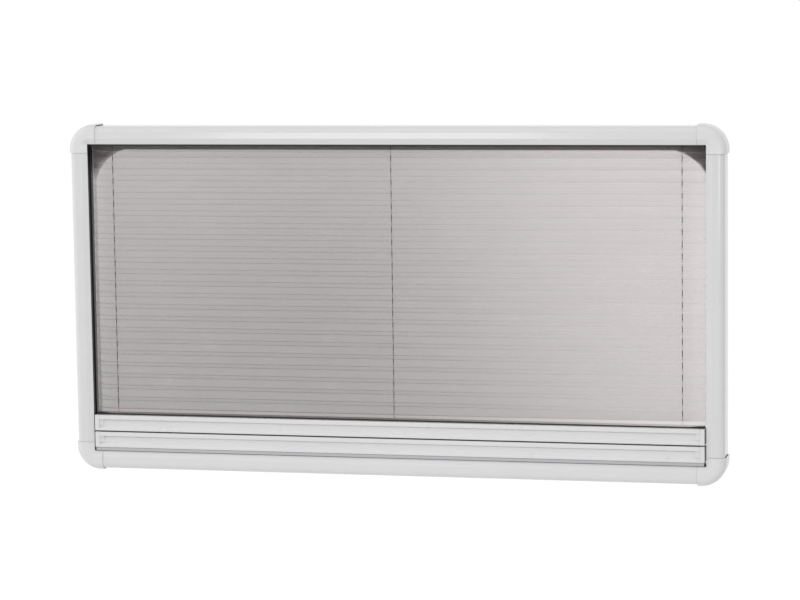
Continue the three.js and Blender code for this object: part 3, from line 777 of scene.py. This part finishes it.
def railPlace(side):
    # where the point (distance outside the lip, depth) of a rail lies, at a place along the rail, in mm
    lip, outwards = lipOf[side]

    def place(outline, at):
        across, depth = lip / mm + outwards * outline[:, 0], outline[:, 1]
        if side in ("bottom", "top"):
            return pointsAt(at, depth, across)
        return pointsAt(across, depth, lipMiddle / mm + at)
    return place


def makeRail(side, size, holes):
    # the channel section carried along the side, drilled from behind for the wall and the brackets
    level = side in ("top", "bottom")
    low, high = sidesOf(side + "_rail")[0 if level else 4:][:2]
    half = (high - low) / 2
    span = ((lipRight - lipLeft) if level else (lipHigh - lipLow)) / 2 / mm
    place = railPlace(side)
    rail = runAlong(side + "_rail_shell", channelOutline(size, size), -half, half, place)
    middle = np.array([[size.face / 2, 0.0]])
    through = size.wall + holes.over
    drills = [(at, "wallRadius", through) for at in holes["level" if level else "upright"]]
    for at in (holes.screwAt - span, span - holes.screwAt):
        drills += [(at, "screwRadius", through), (at, "headRadius", holes.headDepth)]
    cutters = []
    for at, radius, depth in drills:
        point = place(middle, at)[0]
        cutters.append(roundCutter(point[0], point[2], (holes.over, -depth), holes[radius], 1))
    combined(rail, cutters, "DIFFERENCE")
    # the side rails take the darker copy of the frame white, which is painted shade
    return dressed(rail, "frame", "frame_white", side + "_rail", None if level else "frame_white_upright")


def makeCap(corner, size, cap):
    # the section turns round the corner: its radius grows from the lip's to the outer face's in step with
    # the distance outside the lip, and both leg ends are rounded over
    outline = channelOutline(size, cap)
    outside, depth = outline[:, 0], outline[:, 1]
    radius = cap.lipRadius + (cap.radius - cap.lipRadius) * outside / cap.face
    centre = radius - outside
    angle = np.linspace(0, math.pi / 2, cap.steps + 1)[:, None]
    turnX, turnZ = centre - radius * np.sin(angle), centre - radius * np.cos(angle)
    back, inset = edgeStations(cap.rounding)
    ends = [inward(outline, amount) for amount in inset]
    legX = [np.full(len(outline), cap.leg - at) for at in (*back, cap.legPlain)]
    legZ = [-end[:, 0] for end in ends] + [-outside]
    legDepth = [end[:, 1] for end in ends] + [depth]
    x = np.vstack([legX, turnX, legZ[::-1]])
    z = np.vstack([legZ, turnZ, legX[::-1]])
    out = np.vstack([legDepth, np.broadcast_to(depth, turnX.shape), legDepth[::-1]])
    (cornerZ, outZ), (cornerX, outX) = (lipOf[side] for side in corner.split("_"))
    points = pointsAt(cornerX - outX * x * mm, out * mm, cornerZ - outZ * z * mm)
    return dressed(tube(corner + "_cap_shell", points), "frame", "cap_white", corner + "_cap")


cornerNames = ("bottom_left", "bottom_right", "top_left", "top_right")
for side in ("bottom", "top", "left", "right"):
    makeRail(side, frameSize, railHoles)
for corner in cornerNames:
    makeCap(corner, frameSize, capSize)
print("rails and caps made")


# Corner brackets and their cross-head screws

screwSize = Values(
    head=3.2, shank=1.45, seat=0.3, neck=1.1, tip=5.3, dome=0.25, domeShare=0.92, domeSteps=7, middle=0.02,
    rim=0.2, neckEdge=0.1, headEdge=0.15, tipEdge=0.4, crossLength=3.4, crossWidth=0.75, crossDepth=0.62,
    crossEdge=0.12, sides=40)


def makeScrew(node, size):
    # radius and depth of a turned screw, carried round its axis, with two slots sunk in its head
    x, z = (middleOf(node)[axis] / mm for axis in (0, 2))
    head, shank, seat, neck, tip = (size[part] for part in ("head", "shank", "seat", "neck", "tip"))
    share = np.linspace(0, 1, size.domeSteps)[:, None]
    dome = np.hstack([head * size.domeShare * share, seat + size.dome * share ** 2])
    rest = [(head, seat + size.dome + size.rim), (head, neck - size.neckEdge),
            (head - size.headEdge, neck), (shank, neck + size.neckEdge),
            (shank, tip - size.tipEdge), (shank - size.tipEdge, tip)]
    profile = np.vstack([dome, rest])
    profile[0, 0] = size.middle
    angle = fullTurn(size.sides)[None, :]
    r, d = profile[:, :1], profile[:, 1:]
    screw = tube(node + "_turned", pointsAt(x + r * np.cos(angle), d, z + r * np.sin(angle)) * mm)
    slots, half = [], (size.crossLength / 2, size.crossWidth / 2)
    for across, up in (half, half[::-1]):
        slot = plainOutline(x - across, x + across, z - up, z + up, size.crossEdge, 3, 0.02)
        rings = [pointsAt(slot[:, 0], depth, slot[:, 1]) for depth in (0.0, seat + size.crossDepth)]
        slots.append(tube("slot", np.stack(rings) * mm))
    combined(screw, slots, "DIFFERENCE")
    return dressed(screw, "frame", "plain_steel", node)


for corner in cornerNames:
    softPiece(corner + "_bracket", corner + "_bracket_pressed", "frame", "bracket_zinc", 0.3)
    makeScrew(corner + "_screw_1", screwSize)
    makeScrew(corner + "_screw_2", screwSize)
print("brackets and screws made")


# Side tracks, clipped into the left and right rails

trackSize = Values(
    inset=0.2, thickness=14.0, back=15.8, neck=2.3, neckRun=1.0, lug=2.0, frontLug=1.1, groove=8.0,
    grooveDepth=8.5, lead=0.8, edge=0.5, grooveEdge=0.4)


def makeTrack(side, size):
    # (distance outside the lip, depth, radius): a black rail with lugs at both ends of its neck and a
    # groove for the glides, carried along the side
    _, _, _, lugFront, low, high = sidesOf(side + "_track")
    inset, neck, thickness, lead = size.inset, size.neck, size.thickness, size.lead
    front, lugBack = lugFront - size.frontLug, size.back - size.lug
    grooveFront, grooveBack = guideDepth + size.groove / 2, guideDepth - size.groove / 2
    outline = roundedOutline([
        (inset, size.back, 0.4), (neck, size.back, 0.2),
        (neck, lugBack, 0.3), (thickness, lugBack, size.edge),
        (thickness, lugFront, size.edge), (neck + size.neckRun, lugFront, 0.25),
        (neck, front, 0.2), (inset, front, size.edge),
        (inset, grooveFront, lead), (size.grooveDepth, grooveFront, size.grooveEdge),
        (size.grooveDepth, grooveBack, size.grooveEdge), (inset, grooveBack, lead),
    ], steps=6)
    half = (high - low) / 2
    track = runAlong(side + "_track_rail", outline, -half, half, railPlace(side))
    return dressed(track, "frame", "track_black", side + "_track")


for side in ("left", "right"):
    makeTrack(side, trackSize)


# Dark strip and rounded corner pieces behind the screen

darkSize = Values(
    radius=69.0, startIn=0.8, startDown=47.0, endIn=51.0, tip=2.0, steps=48, edge=0.5, edgeSegments=3,
    edgeAngle=40)


def makeDarkCorner(side, size):
    # outline: down the wall side, then an arc to the top strip, on the circle through both end points
    # whose centre lies towards the opening; the face slopes from thin at the foot to full depth at the top
    left, right, rear, full, bottom, top = sidesOf(side + "_dark_corner")
    wallX = left if side == "left" else right
    start = np.array([size.startIn, -size.startDown])
    end = np.array([size.endIn, 0.0])
    chord = end - start
    reach = np.linalg.norm(chord)
    normal = np.array([chord[1], -chord[0]]) / reach
    centre = (start + end) / 2 + normal * math.sqrt(size.radius ** 2 - (reach / 2) ** 2)
    first, last = (math.atan2(*(point - centre)[::-1]) % (2 * math.pi) for point in (start, end))
    angle = np.linspace(first, last, size.steps)
    inside = np.concatenate([[0, 0], centre[0] + size.radius * np.cos(angle)])
    down = np.concatenate([[0, -size.startDown], centre[1] + size.radius * np.sin(angle)])
    x, z = wallX - lipOf[side][1] * inside, top + down
    front = np.interp(z, [bottom, top], [size.tip, full])
    plate = tube(side + "_dark_corner_plate", np.stack([pointsAt(x, rear, z), pointsAt(x, front, z)]) * mm)
    eased(plate, size.edge, size.edgeSegments, size.edgeAngle)
    return dressed(plate, "frame", "dark_plastic", side + "_dark_corner")


darkCorners = [makeDarkCorner(side, darkSize) for side in ("left", "right")]
topStrip = softPiece("top_dark_strip", "top_dark_strip_bar", "frame", "dark_plastic", 0.6, 3)
softPiece("screen_head", "screen_head_clip", "frame", "dark_plastic", 0.3)
print("tracks and dark pieces made")


# Pull bars: extruded bodies with an undercut finger recess, and moulded ends

barSize = Values(
    back=20.0, front=44.7, height=25.5, lowerLip=3.9, ramp=3.6, upperLip=7.0, recess=2.8, undercut=1.3,
    undercutHeight=1.7, wall=1.6, edge=1.2, backEdge=0.7, lipEdge=0.6, rampEdge=1.6, gripEdge=0.45,
    endWidth=7.2, plug=12.0, tongue=7.0, tongueThickness=0.8, glideHeight=19.0, glideReach=3.5, plugDepth=2.6,
    tongueDepth=2.1, glideDepth=3.3, gap=0.3, seam=0.12, holeRadius=1.6, over=3.0, hollowEdge=0.5,
    blockEdge=0.5)
partEdges = {"plug": (0.4, 0.3), "tongue": (0.3, 0.2), "glide": (1.2, 0.9)}      # outline, ends


def cordHoles(low, high, size):
    # a round cutter about each guide cord, from under the low height to over the high one
    ends = low - size.over, high + size.over
    return [roundCutter(x / mm, -guideDepth, ends, size.holeRadius, 2) for x in cordPlaces]


def barOutline(size):
    # (depth, height, radius): square back, lower lip, ramp, recess with an undercut top, upper lip
    front, back, height = size.front, size.back, size.height
    face, top = front - size.recess, height - size.upperLip
    return roundedOutline([
        (back, 0, size.backEdge), (front, 0, size.edge),
        (front, size.lowerLip, size.lipEdge), (face, size.lowerLip + size.ramp, size.rampEdge),
        (face, top - size.undercutHeight, 0.5), (face - size.undercut, top, 0.3),
        (front, top, size.gripEdge), (front, height, size.edge),
        (back, height, size.backEdge),
    ], steps=7)


def makeBar(body, size):
    # the bar's section carried across the width, hollowed out, with a hole for each cord
    left, right, _, _, bottom, _ = sidesOf(body)
    bar = runAlong(body + "_extrusion", barOutline(size) + [0, bottom], left, right, acrossWidth)
    hollowFront = size.front - size.recess - size.undercut - size.wall
    hollow = plainOutline(size.back + size.wall, hollowFront, bottom + size.wall,
                          bottom + size.height - size.wall, size.hollowEdge)
    cutters = [runAlong("hollow", hollow, left - size.over, right + size.over, acrossWidth)]
    combined(bar, cutters + cordHoles(bottom, bottom + size.height, size), "DIFFERENCE")
    return dressed(bar, body, "bar_white", body)


def makeBarEnd(node, body, side, size):
    # block, plug into the bar, tongue over the recess's end and glide into the track, joined into one;
    # each is a (depth, height) outline carried across, with rounded ends
    left, right, _, _, bottom, _ = sidesOf(node)
    tip, outwards, barReach = max(abs(left), abs(right)), lipOf[side][1], sidesOf(body)[1]
    inner, outer = barReach + size.seam, barReach + size.gap + size.endWidth
    back, front, height, gap = size.back, size.front, size.height, size.gap
    face = front - size.recess

    def part(name, outline, near, far, rounding):
        start, end = sorted((outwards * near, outwards * far))
        return runAlong(name, outline + [0, bottom], start, end, acrossWidth, rounding)

    block = roundedOutline([(back, 0, size.backEdge), (front, 0, size.edge),
                            (front, height, size.edge), (back, height, size.backEdge)], 7)
    piece = part(node + "_moulding", block, inner, outer, size.blockEdge)
    plugEdge = size.wall + gap
    shapes = {"plug": (back + plugEdge, face - size.undercut - plugEdge, plugEdge, height - plugEdge),
              "tongue": (face + gap, face + gap + size.tongueThickness,
                         size.lowerLip + size.ramp + gap, height - size.upperLip - gap),
              "glide": (guideDepth - size.glideReach, guideDepth + size.glideReach,
                        (height - size.glideHeight) / 2, (height + size.glideHeight) / 2)}
    reach = {"plug": (inner - size.plug, inner + size.plugDepth),
             "tongue": (inner - size.tongue, inner + size.tongueDepth),
             "glide": (outer - size.glideDepth, tip)}
    others = [part(name, plainOutline(*shapes[name], radius), *reach[name], rounding)
              for name, (radius, rounding) in partEdges.items()]
    combined(piece, others, "UNION")
    return dressed(piece, body, "bar_end_white", node)


for body in ("screen_bar", "blackout_bar"):
    makeBar(body, barSize)
    for side in ("left", "right"):
        makeBarEnd(f"{body}_end_{side}", body, side, barSize)

footSize = Values(lip=1.2, lipDepth=3.2, rounding=0.3)


def makeFootStrip(name, node, size):
    # (depth, height, radius): a low lip in front and the full height behind it, where the net's end is held
    left, right, back, front, foot, head = sidesOf(node)
    edge, step, lipTop = size.rounding, front - size.lipDepth, foot + size.lip
    outline = roundedOutline([
        (back, foot, edge), (front, foot, edge), (front, lipTop, edge),
        (step, lipTop, edge), (step, head, edge), (back, head, edge)], 4)
    strip = runAlong(name, outline, left, right, acrossWidth)
    combined(strip, cordHoles(foot, head, barSize), "DIFFERENCE")
    return dressed(strip, "screen_bar", "dark_plastic", node)


makeFootStrip("screen_foot_strip", "screen_foot", footSize)
softPiece("bar_seal", "bar_seal_strip", "blackout_bar", "seal_brown", 0.4)
softPiece("blackout_head", "blackout_head_strip", "blackout_bar", "strip_grey", 0.4)
softPiece("blackout_foot", "blackout_foot_strip", "frame", "strip_grey", 0.3)
print("bars and strips made")


# Pleated cloths. Both share the ways of folding in clothBasis.

clothBasis = Values(
    bendShares=(0.2, 0.5, 0.8), bendFlat=(-0.6, 0.0, 0.6), besideCrease=0.8, waveLengths=(0.9, 0.37, 0.16),
    waveStrength=(0.3, 1.0), waveHeight=0.0, sag=0.0, cordClear=2.2, calmFrom=472.0, calmShares=(0.0, 0.0),
    riseSpeed=6.0, lipOver=0.0)
noCord = 99.0      # stands for a distance along the panel that is far from any cord


def smoothStep(share):
    return share ** 2 * (3 - 2 * share)


def zigzag(node, size, count):
    # the depths of the folds, back and front by turns, a little inside the node's box
    _, _, back, front, _, _ = sidesOf(node)
    return np.where(np.arange(count) % 2 == 1, front - size.inset, back + size.inset)


def foldWaves(folds, x, size):
    # each fold wanders by a sum of three slow cosines along the width, and not at all at the cloth's ends
    random = np.random.default_rng(size.seed)
    calm = np.ones((folds, 1))
    calm[[0, -1]] = 0
    total = np.zeros((2, folds, len(x)))
    for wavelength in size.waveLengths:
        phase = random.uniform(0, 2 * math.pi, (2, folds, 1))
        strength = random.uniform(*size.waveStrength, (2, folds, 1)) * wavelength ** 0.5
        total += strength * np.cos(2 * math.pi * x / wavelength + phase)
    return total[0] * calm * size.waveDepth, total[1] * calm * size.waveHeight


def foldedRows(folds, size):
    # The cloth's rows from the top down: depth, height, place on the flat cloth, order in panels, crease,
    # distance from the cord along the panel, and the panel's own direction. Each panel has rows beside its
    # folds, across its middle and round the eyelets; a fold is a parabola between the points one bend away.
    start, step = folds[:-1], np.diff(folds, axis=0)
    length = np.linalg.norm(step, axis=1)[:, None]
    bend, near, eyelet = size.bend, size.near, size.eyelet
    middle = length / 2
    offsets = np.array([-eyelet, -eyelet / 2, 0, eyelet / 2, eyelet])
    distance = np.hstack([0 * length + bend, 0 * length + near + bend, middle / 2, middle + offsets,
                          middle * 1.5, length - near - bend, length - bend])
    distance[0, 0], distance[-1, -1] = 0, length[-1, 0]
    share = distance / length
    points = start[:, None] + step[:, None] * share[..., None]
    points[..., 1] -= size.sag * 4 * share * (1 - share)
    order = np.arange(len(start))[:, None] + share
    crease = np.zeros(share.shape)
    crease[:, [0, -1]] = size.besideCrease
    fromCord = np.full(share.shape, noCord)
    fromCord[:, 3:8] = offsets
    if size.plainEnd:
        fromCord[-1] = noCord      # no cord passes through the last panel
    startsAt = np.concatenate([[0], np.cumsum(length[:-1, 0])])[:, None]
    along = np.broadcast_to((step / length)[:, None], points.shape)
    panels = np.dstack([points, startsAt + distance, order, crease, fromCord, along])

    t = np.array(size.bendShares)[None, :, None]
    ahead, corner, behind = points[:-1, -1:], folds[1:-1, None], points[1:, :1]
    bends = np.zeros((len(corner), t.size, panels.shape[2]))
    bends[..., :2] = ahead * (1 - t) ** 2 + corner * 2 * t * (1 - t) + behind * t ** 2
    bends[..., 2] = startsAt[1:] + np.array(size.bendFlat) * bend
    bends[..., 3] = np.arange(1, len(start))[:, None]
    bends[..., 4:6] = 1.0, noCord
    joined = np.concatenate([panels[:-1], bends], axis=1).reshape(-1, panels.shape[2])
    return np.concatenate([joined, panels[-1]]), length.sum() * mm


def openEyelets(x, fromCord, eyelet):
    # round each cord the square of rows and columns is drawn in to a circle: a place keeps its direction
    # from the cord and comes to lie as far away as the larger of its two distances
    toCord = x[None, :] - np.array(cordPlaces)[:, None]
    nearest = toCord[np.abs(toCord).argmin(0), np.arange(len(x))] / mm
    across, along = np.broadcast_arrays(nearest[None, :], fromCord)
    larger = np.maximum(np.abs(across), np.abs(along))
    inside = larger <= eyelet + 0.01
    drawnIn = np.where(inside, larger / np.maximum(np.hypot(across, along), 1e-6), 1.0)
    return inside, across * (drawnIn - 1), along * (drawnIn - 1)


def pleatedSheet(name, folds, x, size):
    # folds are (depth, height) in mm, from the top down; the cloth is their profile carried along X, with
    # waves in the folds and an eyelet for each cord. From calmFrom to the side edges the folds grow shallow
    # towards the back, by the left or right share times a smooth step; there the lower end rises by
    # lipOver, clear of the foot strip's full height.
    rows, clothLength = foldedRows(folds, size)
    depth, height, flat, order, crease, fromCord, alongDepth, alongHeight = rows.T[..., None]
    inside, moveX, moveAlong = openEyelets(x, fromCord, size.eyelet)
    panels = len(folds) - 1
    below = np.minimum(order[:, 0].astype(int), panels - 1)
    part = order - below[:, None]
    waveDepth, waveHeight = (wave[below] * (1 - part) + wave[below + 1] * part
                             for wave in foldWaves(len(folds), x, size))
    fromMiddle = np.abs(x) / mm
    outer = np.clip((fromMiddle - size.calmFrom) / (fromMiddle.max() - size.calmFrom), 0, 1)
    calm = np.where(x < 0, *size.calmShares) * smoothStep(outer)
    endRise = size.lipOver * np.clip(order - (panels - 1), 0, 1) * np.clip(size.riseSpeed * calm, 0, 1)
    px = x[None, :] / mm + moveX
    py = -(depth + (folds[:, 0].min() - depth) * calm + alongDepth * moveAlong + waveDepth)
    pz = height + alongHeight * moveAlong + waveHeight + endRise
    grid = np.stack([px, py, pz], axis=-1) * mm

    faces = gridFaces(len(rows), len(x), False)
    corners = gridMap(x[None, :] + moveX * mm, (flat + moveAlong) * mm).reshape(-1, 4, 2)
    keep = ~inside.ravel()[faces].all(1)
    faces, corners = faces[keep], corners[keep]
    used, renumbered = np.unique(faces, return_inverse=True)
    mesh = meshOf(name, grid.reshape(-1, 3)[used], renumbered.reshape(-1, 4).tolist())
    mesh.uv_layers.new(name="clothMap").data.foreach_set("uv", corners.astype(np.float32).ravel())
    values = np.broadcast_to(crease, inside.shape).ravel()[used]
    mesh.attributes.new("crease", "FLOAT", "POINT").data.foreach_set("value", values.astype(np.float32))
    mesh.polygons.foreach_set("use_smooth", np.ones(len(mesh.polygons), bool))
    return placed(name, mesh), float(clothLength)


def clothColumns(left, right, size):
    # even columns over the width, and five through each eyelet
    x = np.linspace(left, right, size.columns)
    cords = np.array(cordPlaces)[:, None]
    reach = size.eyelet * mm
    clear = np.abs(x - cords).min(0) > size.cordClear * reach
    beside = cords + np.array([-1, -0.5, 0, 0.5, 1]) * reach
    return np.sort(np.concatenate([x[clear], beside.ravel()]))


# Insect screen. Its last fold stands on the foot strip's low lip.

netSize = Values(
    clothBasis, pleats=23, inset=0.35, bend=0.45, near=0.7, eyelet=0.95, columns=81, droopTop=-0.7,
    droopFoot=1.7, sag=0.25, waveDepth=0.22, waveHeight=0.16, left=-0.6, right=2.7, calmShares=(0.9, 0.45),
    lipOver=0.9, lipBack=0.5, plainEnd=True, seed=7)

netLow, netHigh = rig.box("screen_net")
netTop, netFoot = netHigh.z / mm, netLow.z / mm
places = np.arange(2 * netSize.pleats + 1) / 2
heights = netTop - (netTop - netFoot) / netSize.pleats * places
droop = netSize.droopTop + (netSize.droopFoot - netSize.droopTop) * places / netSize.pleats
netDepths = zigzag("screen_net", netSize, len(places))
netFolds = np.stack([netDepths, heights - droop * (np.arange(len(places)) % 2)], axis=1)
netFolds[-1] = netDepths.max() - netSize.lipBack, netFoot - netSize.lipOver
netLeft, netRight = netLow.x + netSize.left * mm, netHigh.x + netSize.right * mm
netColumns = clothColumns(netLeft, netRight, netSize)
net, netLength = pleatedSheet("insect_screen", netFolds, netColumns, netSize)
dressed(net, "frame", "net_grey", "screen_net")
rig.squash(net, "screen_lift", axis=(0, 0, 1), anchor=(0, 0, netHigh.z),
          keep=1 - travelOf("screen_lift") / (netHigh.z - netLow.z))
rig.sheet(net, flat=(netRight - netLeft, netLength), held="hung",
         rests_on=["screen_head_clip", "screen_foot_strip"])


# Packed blackout cloth. Its folds are spaced so that they come out even when the bar is up.

packSize = Values(
    clothBasis, pleats=24, inset=0.3, bend=0.12, near=0.5, eyelet=1.4, columns=61, waveDepth=0.25,
    sideGap=0.2, plainEnd=False, tableRows=4001, seed=11)

packLow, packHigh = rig.box("blackout_pleats")
blendLow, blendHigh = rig.box("blackout_foot")[1].z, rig.box("blackout_head")[0].z
table = np.linspace(packLow.z, packHigh.z, packSize.tableRows)
blendShare = np.clip((table - blendLow) / (blendHigh - blendLow), 0, 1)
raised = table + travelOf("blackout_lift") * smoothStep(blendShare)
even = np.linspace(raised[-1], raised[0], 2 * packSize.pleats + 1)
packHeights = np.interp(even, raised, table) / mm
packFolds = np.stack([zigzag("blackout_pleats", packSize, len(even)), packHeights], axis=1)
packLeft, packRight = packLow.x + packSize.sideGap * mm, packHigh.x - packSize.sideGap * mm
packColumns = clothColumns(packLeft, packRight, packSize)
pack, packLength = pleatedSheet("blackout_cloth", packFolds, packColumns, packSize)
dressed(pack, None, "blackout_grey", "blackout_pleats")
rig.blend(pack, "frame", "blackout_bar", start=(0, 0, blendLow), end=(0, 0, blendHigh))
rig.sheet(pack, flat=(packRight - packLeft, packLength), held="folded",
         rests_on=["blackout_foot_strip", "blackout_head_strip"])
print("cloths made:", round(netLength, 4), round(packLength, 4))


# Cord ends: the ferrules and springs keep their CAD shapes

for name in cordNames:
    for node in ("upper_ferrule_" + name, "lower_ferrule_" + name, "cord_spring_" + name):
        metal = frame["nodes"][node]
        metal.data.materials.clear()
        metal.data.materials.append(finishes["plain_steel"])


# Floor, world and lamps, in metres and watts

floorSize = Values(height=-0.9, half=30.0, tone=(0.8, 0.8, 0.8), shine=0.42)
worldLevel = Values(ambient=0.74, white=1.0)
softBoxes = {      # broad light that no gloss shows
    "front": Values(place=(-0.35, -2.0, 0.42), aim=(-0.2, 0.0, 0.2), size=(0.9, 0.68), watts=4.8),
    "overhead": Values(place=(0.6, -1.3, 2.6), aim=(0.1, 0.0, 0.2), size=(2.4, 1.6), watts=14.0),
    "frontLow": Values(place=(0.7, -2.2, -0.2), aim=(0.1, 0.0, 0.05), size=(1.8, 0.7), watts=6.6),
    "leftRim": Values(place=(-1.9, -0.25, 0.5), aim=(-0.5, 0.0, 0.27), size=(0.5, 1.0), watts=9.0),
}
shineCards = {      # seen in gloss only
    "frontShine": Values(place=(-0.5, -2.0, 0.42), aim=(-0.5, 0.0, 0.42), size=(0.79, 0.26), watts=1.97),
    "edgeShine": Values(place=(1.07, -2.0, 0.36), aim=(1.07, 0.0, 0.36), size=(0.9, 0.28), watts=2.7),
}
backSpots = {      # behind the object, on the screen alone
    "backRight": Values(place=(-0.2, 2.4, 0.36), aim=(0.82, 0.0, 0.45), angle=40.0, watts=1110.0),
    "backLeft": Values(place=(-0.8, 2.4, 0.44), aim=(-0.7, 0.0, 0.5), angle=25.5, watts=280.0),
    "backTop": Values(place=(-0.1, 2.4, 0.62), aim=(-0.14, 0.0, 1.1), angle=40.0, watts=650.0),
}
spotRadius = 0.2


def seenDirectly(tree):
    # 1 for what the camera, a reflection or a clear view through something looks at
    rays = addNode(tree, "LightPath")
    seen = maths(tree, "MAXIMUM", rays.outputs["Is Camera Ray"], rays.outputs["Is Glossy Ray"])
    return maths(tree, "MAXIMUM", seen, rays.outputs["Is Transmission Ray"])


def floorFinish(tree, look):
    matt = firstOf(tree, "BsdfDiffuse", {"Color": (*look.tone, 1)})
    level = times(tree, seenDirectly(tree), look.shine)
    white = firstOf(tree, "Emission", {"Color": (1, 1, 1, 1), "Strength": level})
    return firstOf(tree, "AddShader", {0: matt, 1: white})


def makeFloor(size):
    half, height = size.half, size.height
    corners = [(-half, -half, height), (half, -half, height), (half, half, height), (-half, half, height)]
    floor = placed("studioFloor", meshOf("studioFloor", np.array(corners), [(0, 1, 2, 3)]))
    floor.data.materials.append(makeMaterial("studioFloor", floorFinish, size))
    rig.stage(floor)


def makeWorld(level):
    world = bpy.data.worlds.new("studioWorld")
    bpy.context.scene.world = world
    tree = emptyTree(world)
    strength = spread(tree, seenDirectly(tree), level.ambient, level.white)
    back = addNode(tree, "Background", {"Color": (1, 1, 1, 1), "Strength": strength})
    addNode(tree, "OutputWorld", {"Surface": back.outputs[0]})


def setLamp(name, light, look):
    light.energy = look.watts
    lamp = placed(name, light)
    back = unit(np.subtract(look.place, look.aim))
    right = unit(np.cross((0, 0, 1), back))
    lamp.matrix_world = turnedTo(right, np.cross(back, right), back, look.place)
    lamp.visible_camera = False
    return lamp


def makeBox(name, look):
    light = bpy.data.lights.new(name, "AREA")
    light.shape = "RECTANGLE"
    light.size, light.size_y = look.size
    return setLamp(name, light, look)


def makeBackSpot(name, look, lit, shading):
    # a soft-edged lamp behind the object that lights nothing but the screen and shines past the frame
    light = bpy.data.lights.new(name, "SPOT")
    light.spot_size = math.radians(look.angle)
    light.spot_blend = 1.0
    light.shadow_soft_size = spotRadius
    lamp = setLamp(name, light, look)
    for kind, pieces in (("receiver", lit), ("blocker", shading)):
        group = bpy.data.collections.new(name + kind.title())
        for piece in pieces:
            group.objects.link(piece)
        setattr(lamp.light_linking, kind + "_collection", group)


makeFloor(floorSize)
makeWorld(worldLevel)
for lampName, lampLook in softBoxes.items():
    makeBox(lampName, lampLook).visible_glossy = False
for lampName, lampLook in shineCards.items():
    makeBox(lampName, lampLook).visible_diffuse = False
for lampName, lampLook in backSpots.items():
    makeBackSpot(lampName, lampLook, [net], [net, topStrip, *darkCorners])
bpy.context.scene.view_settings.view_transform = "Standard"
print("stage set")

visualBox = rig.bounds()
with open("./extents.json", "w") as sizeFile:
    json.dump({"cad": [list(corner) for corner in cadBox], "visual": [list(corner) for corner in visualBox]}, sizeFile)
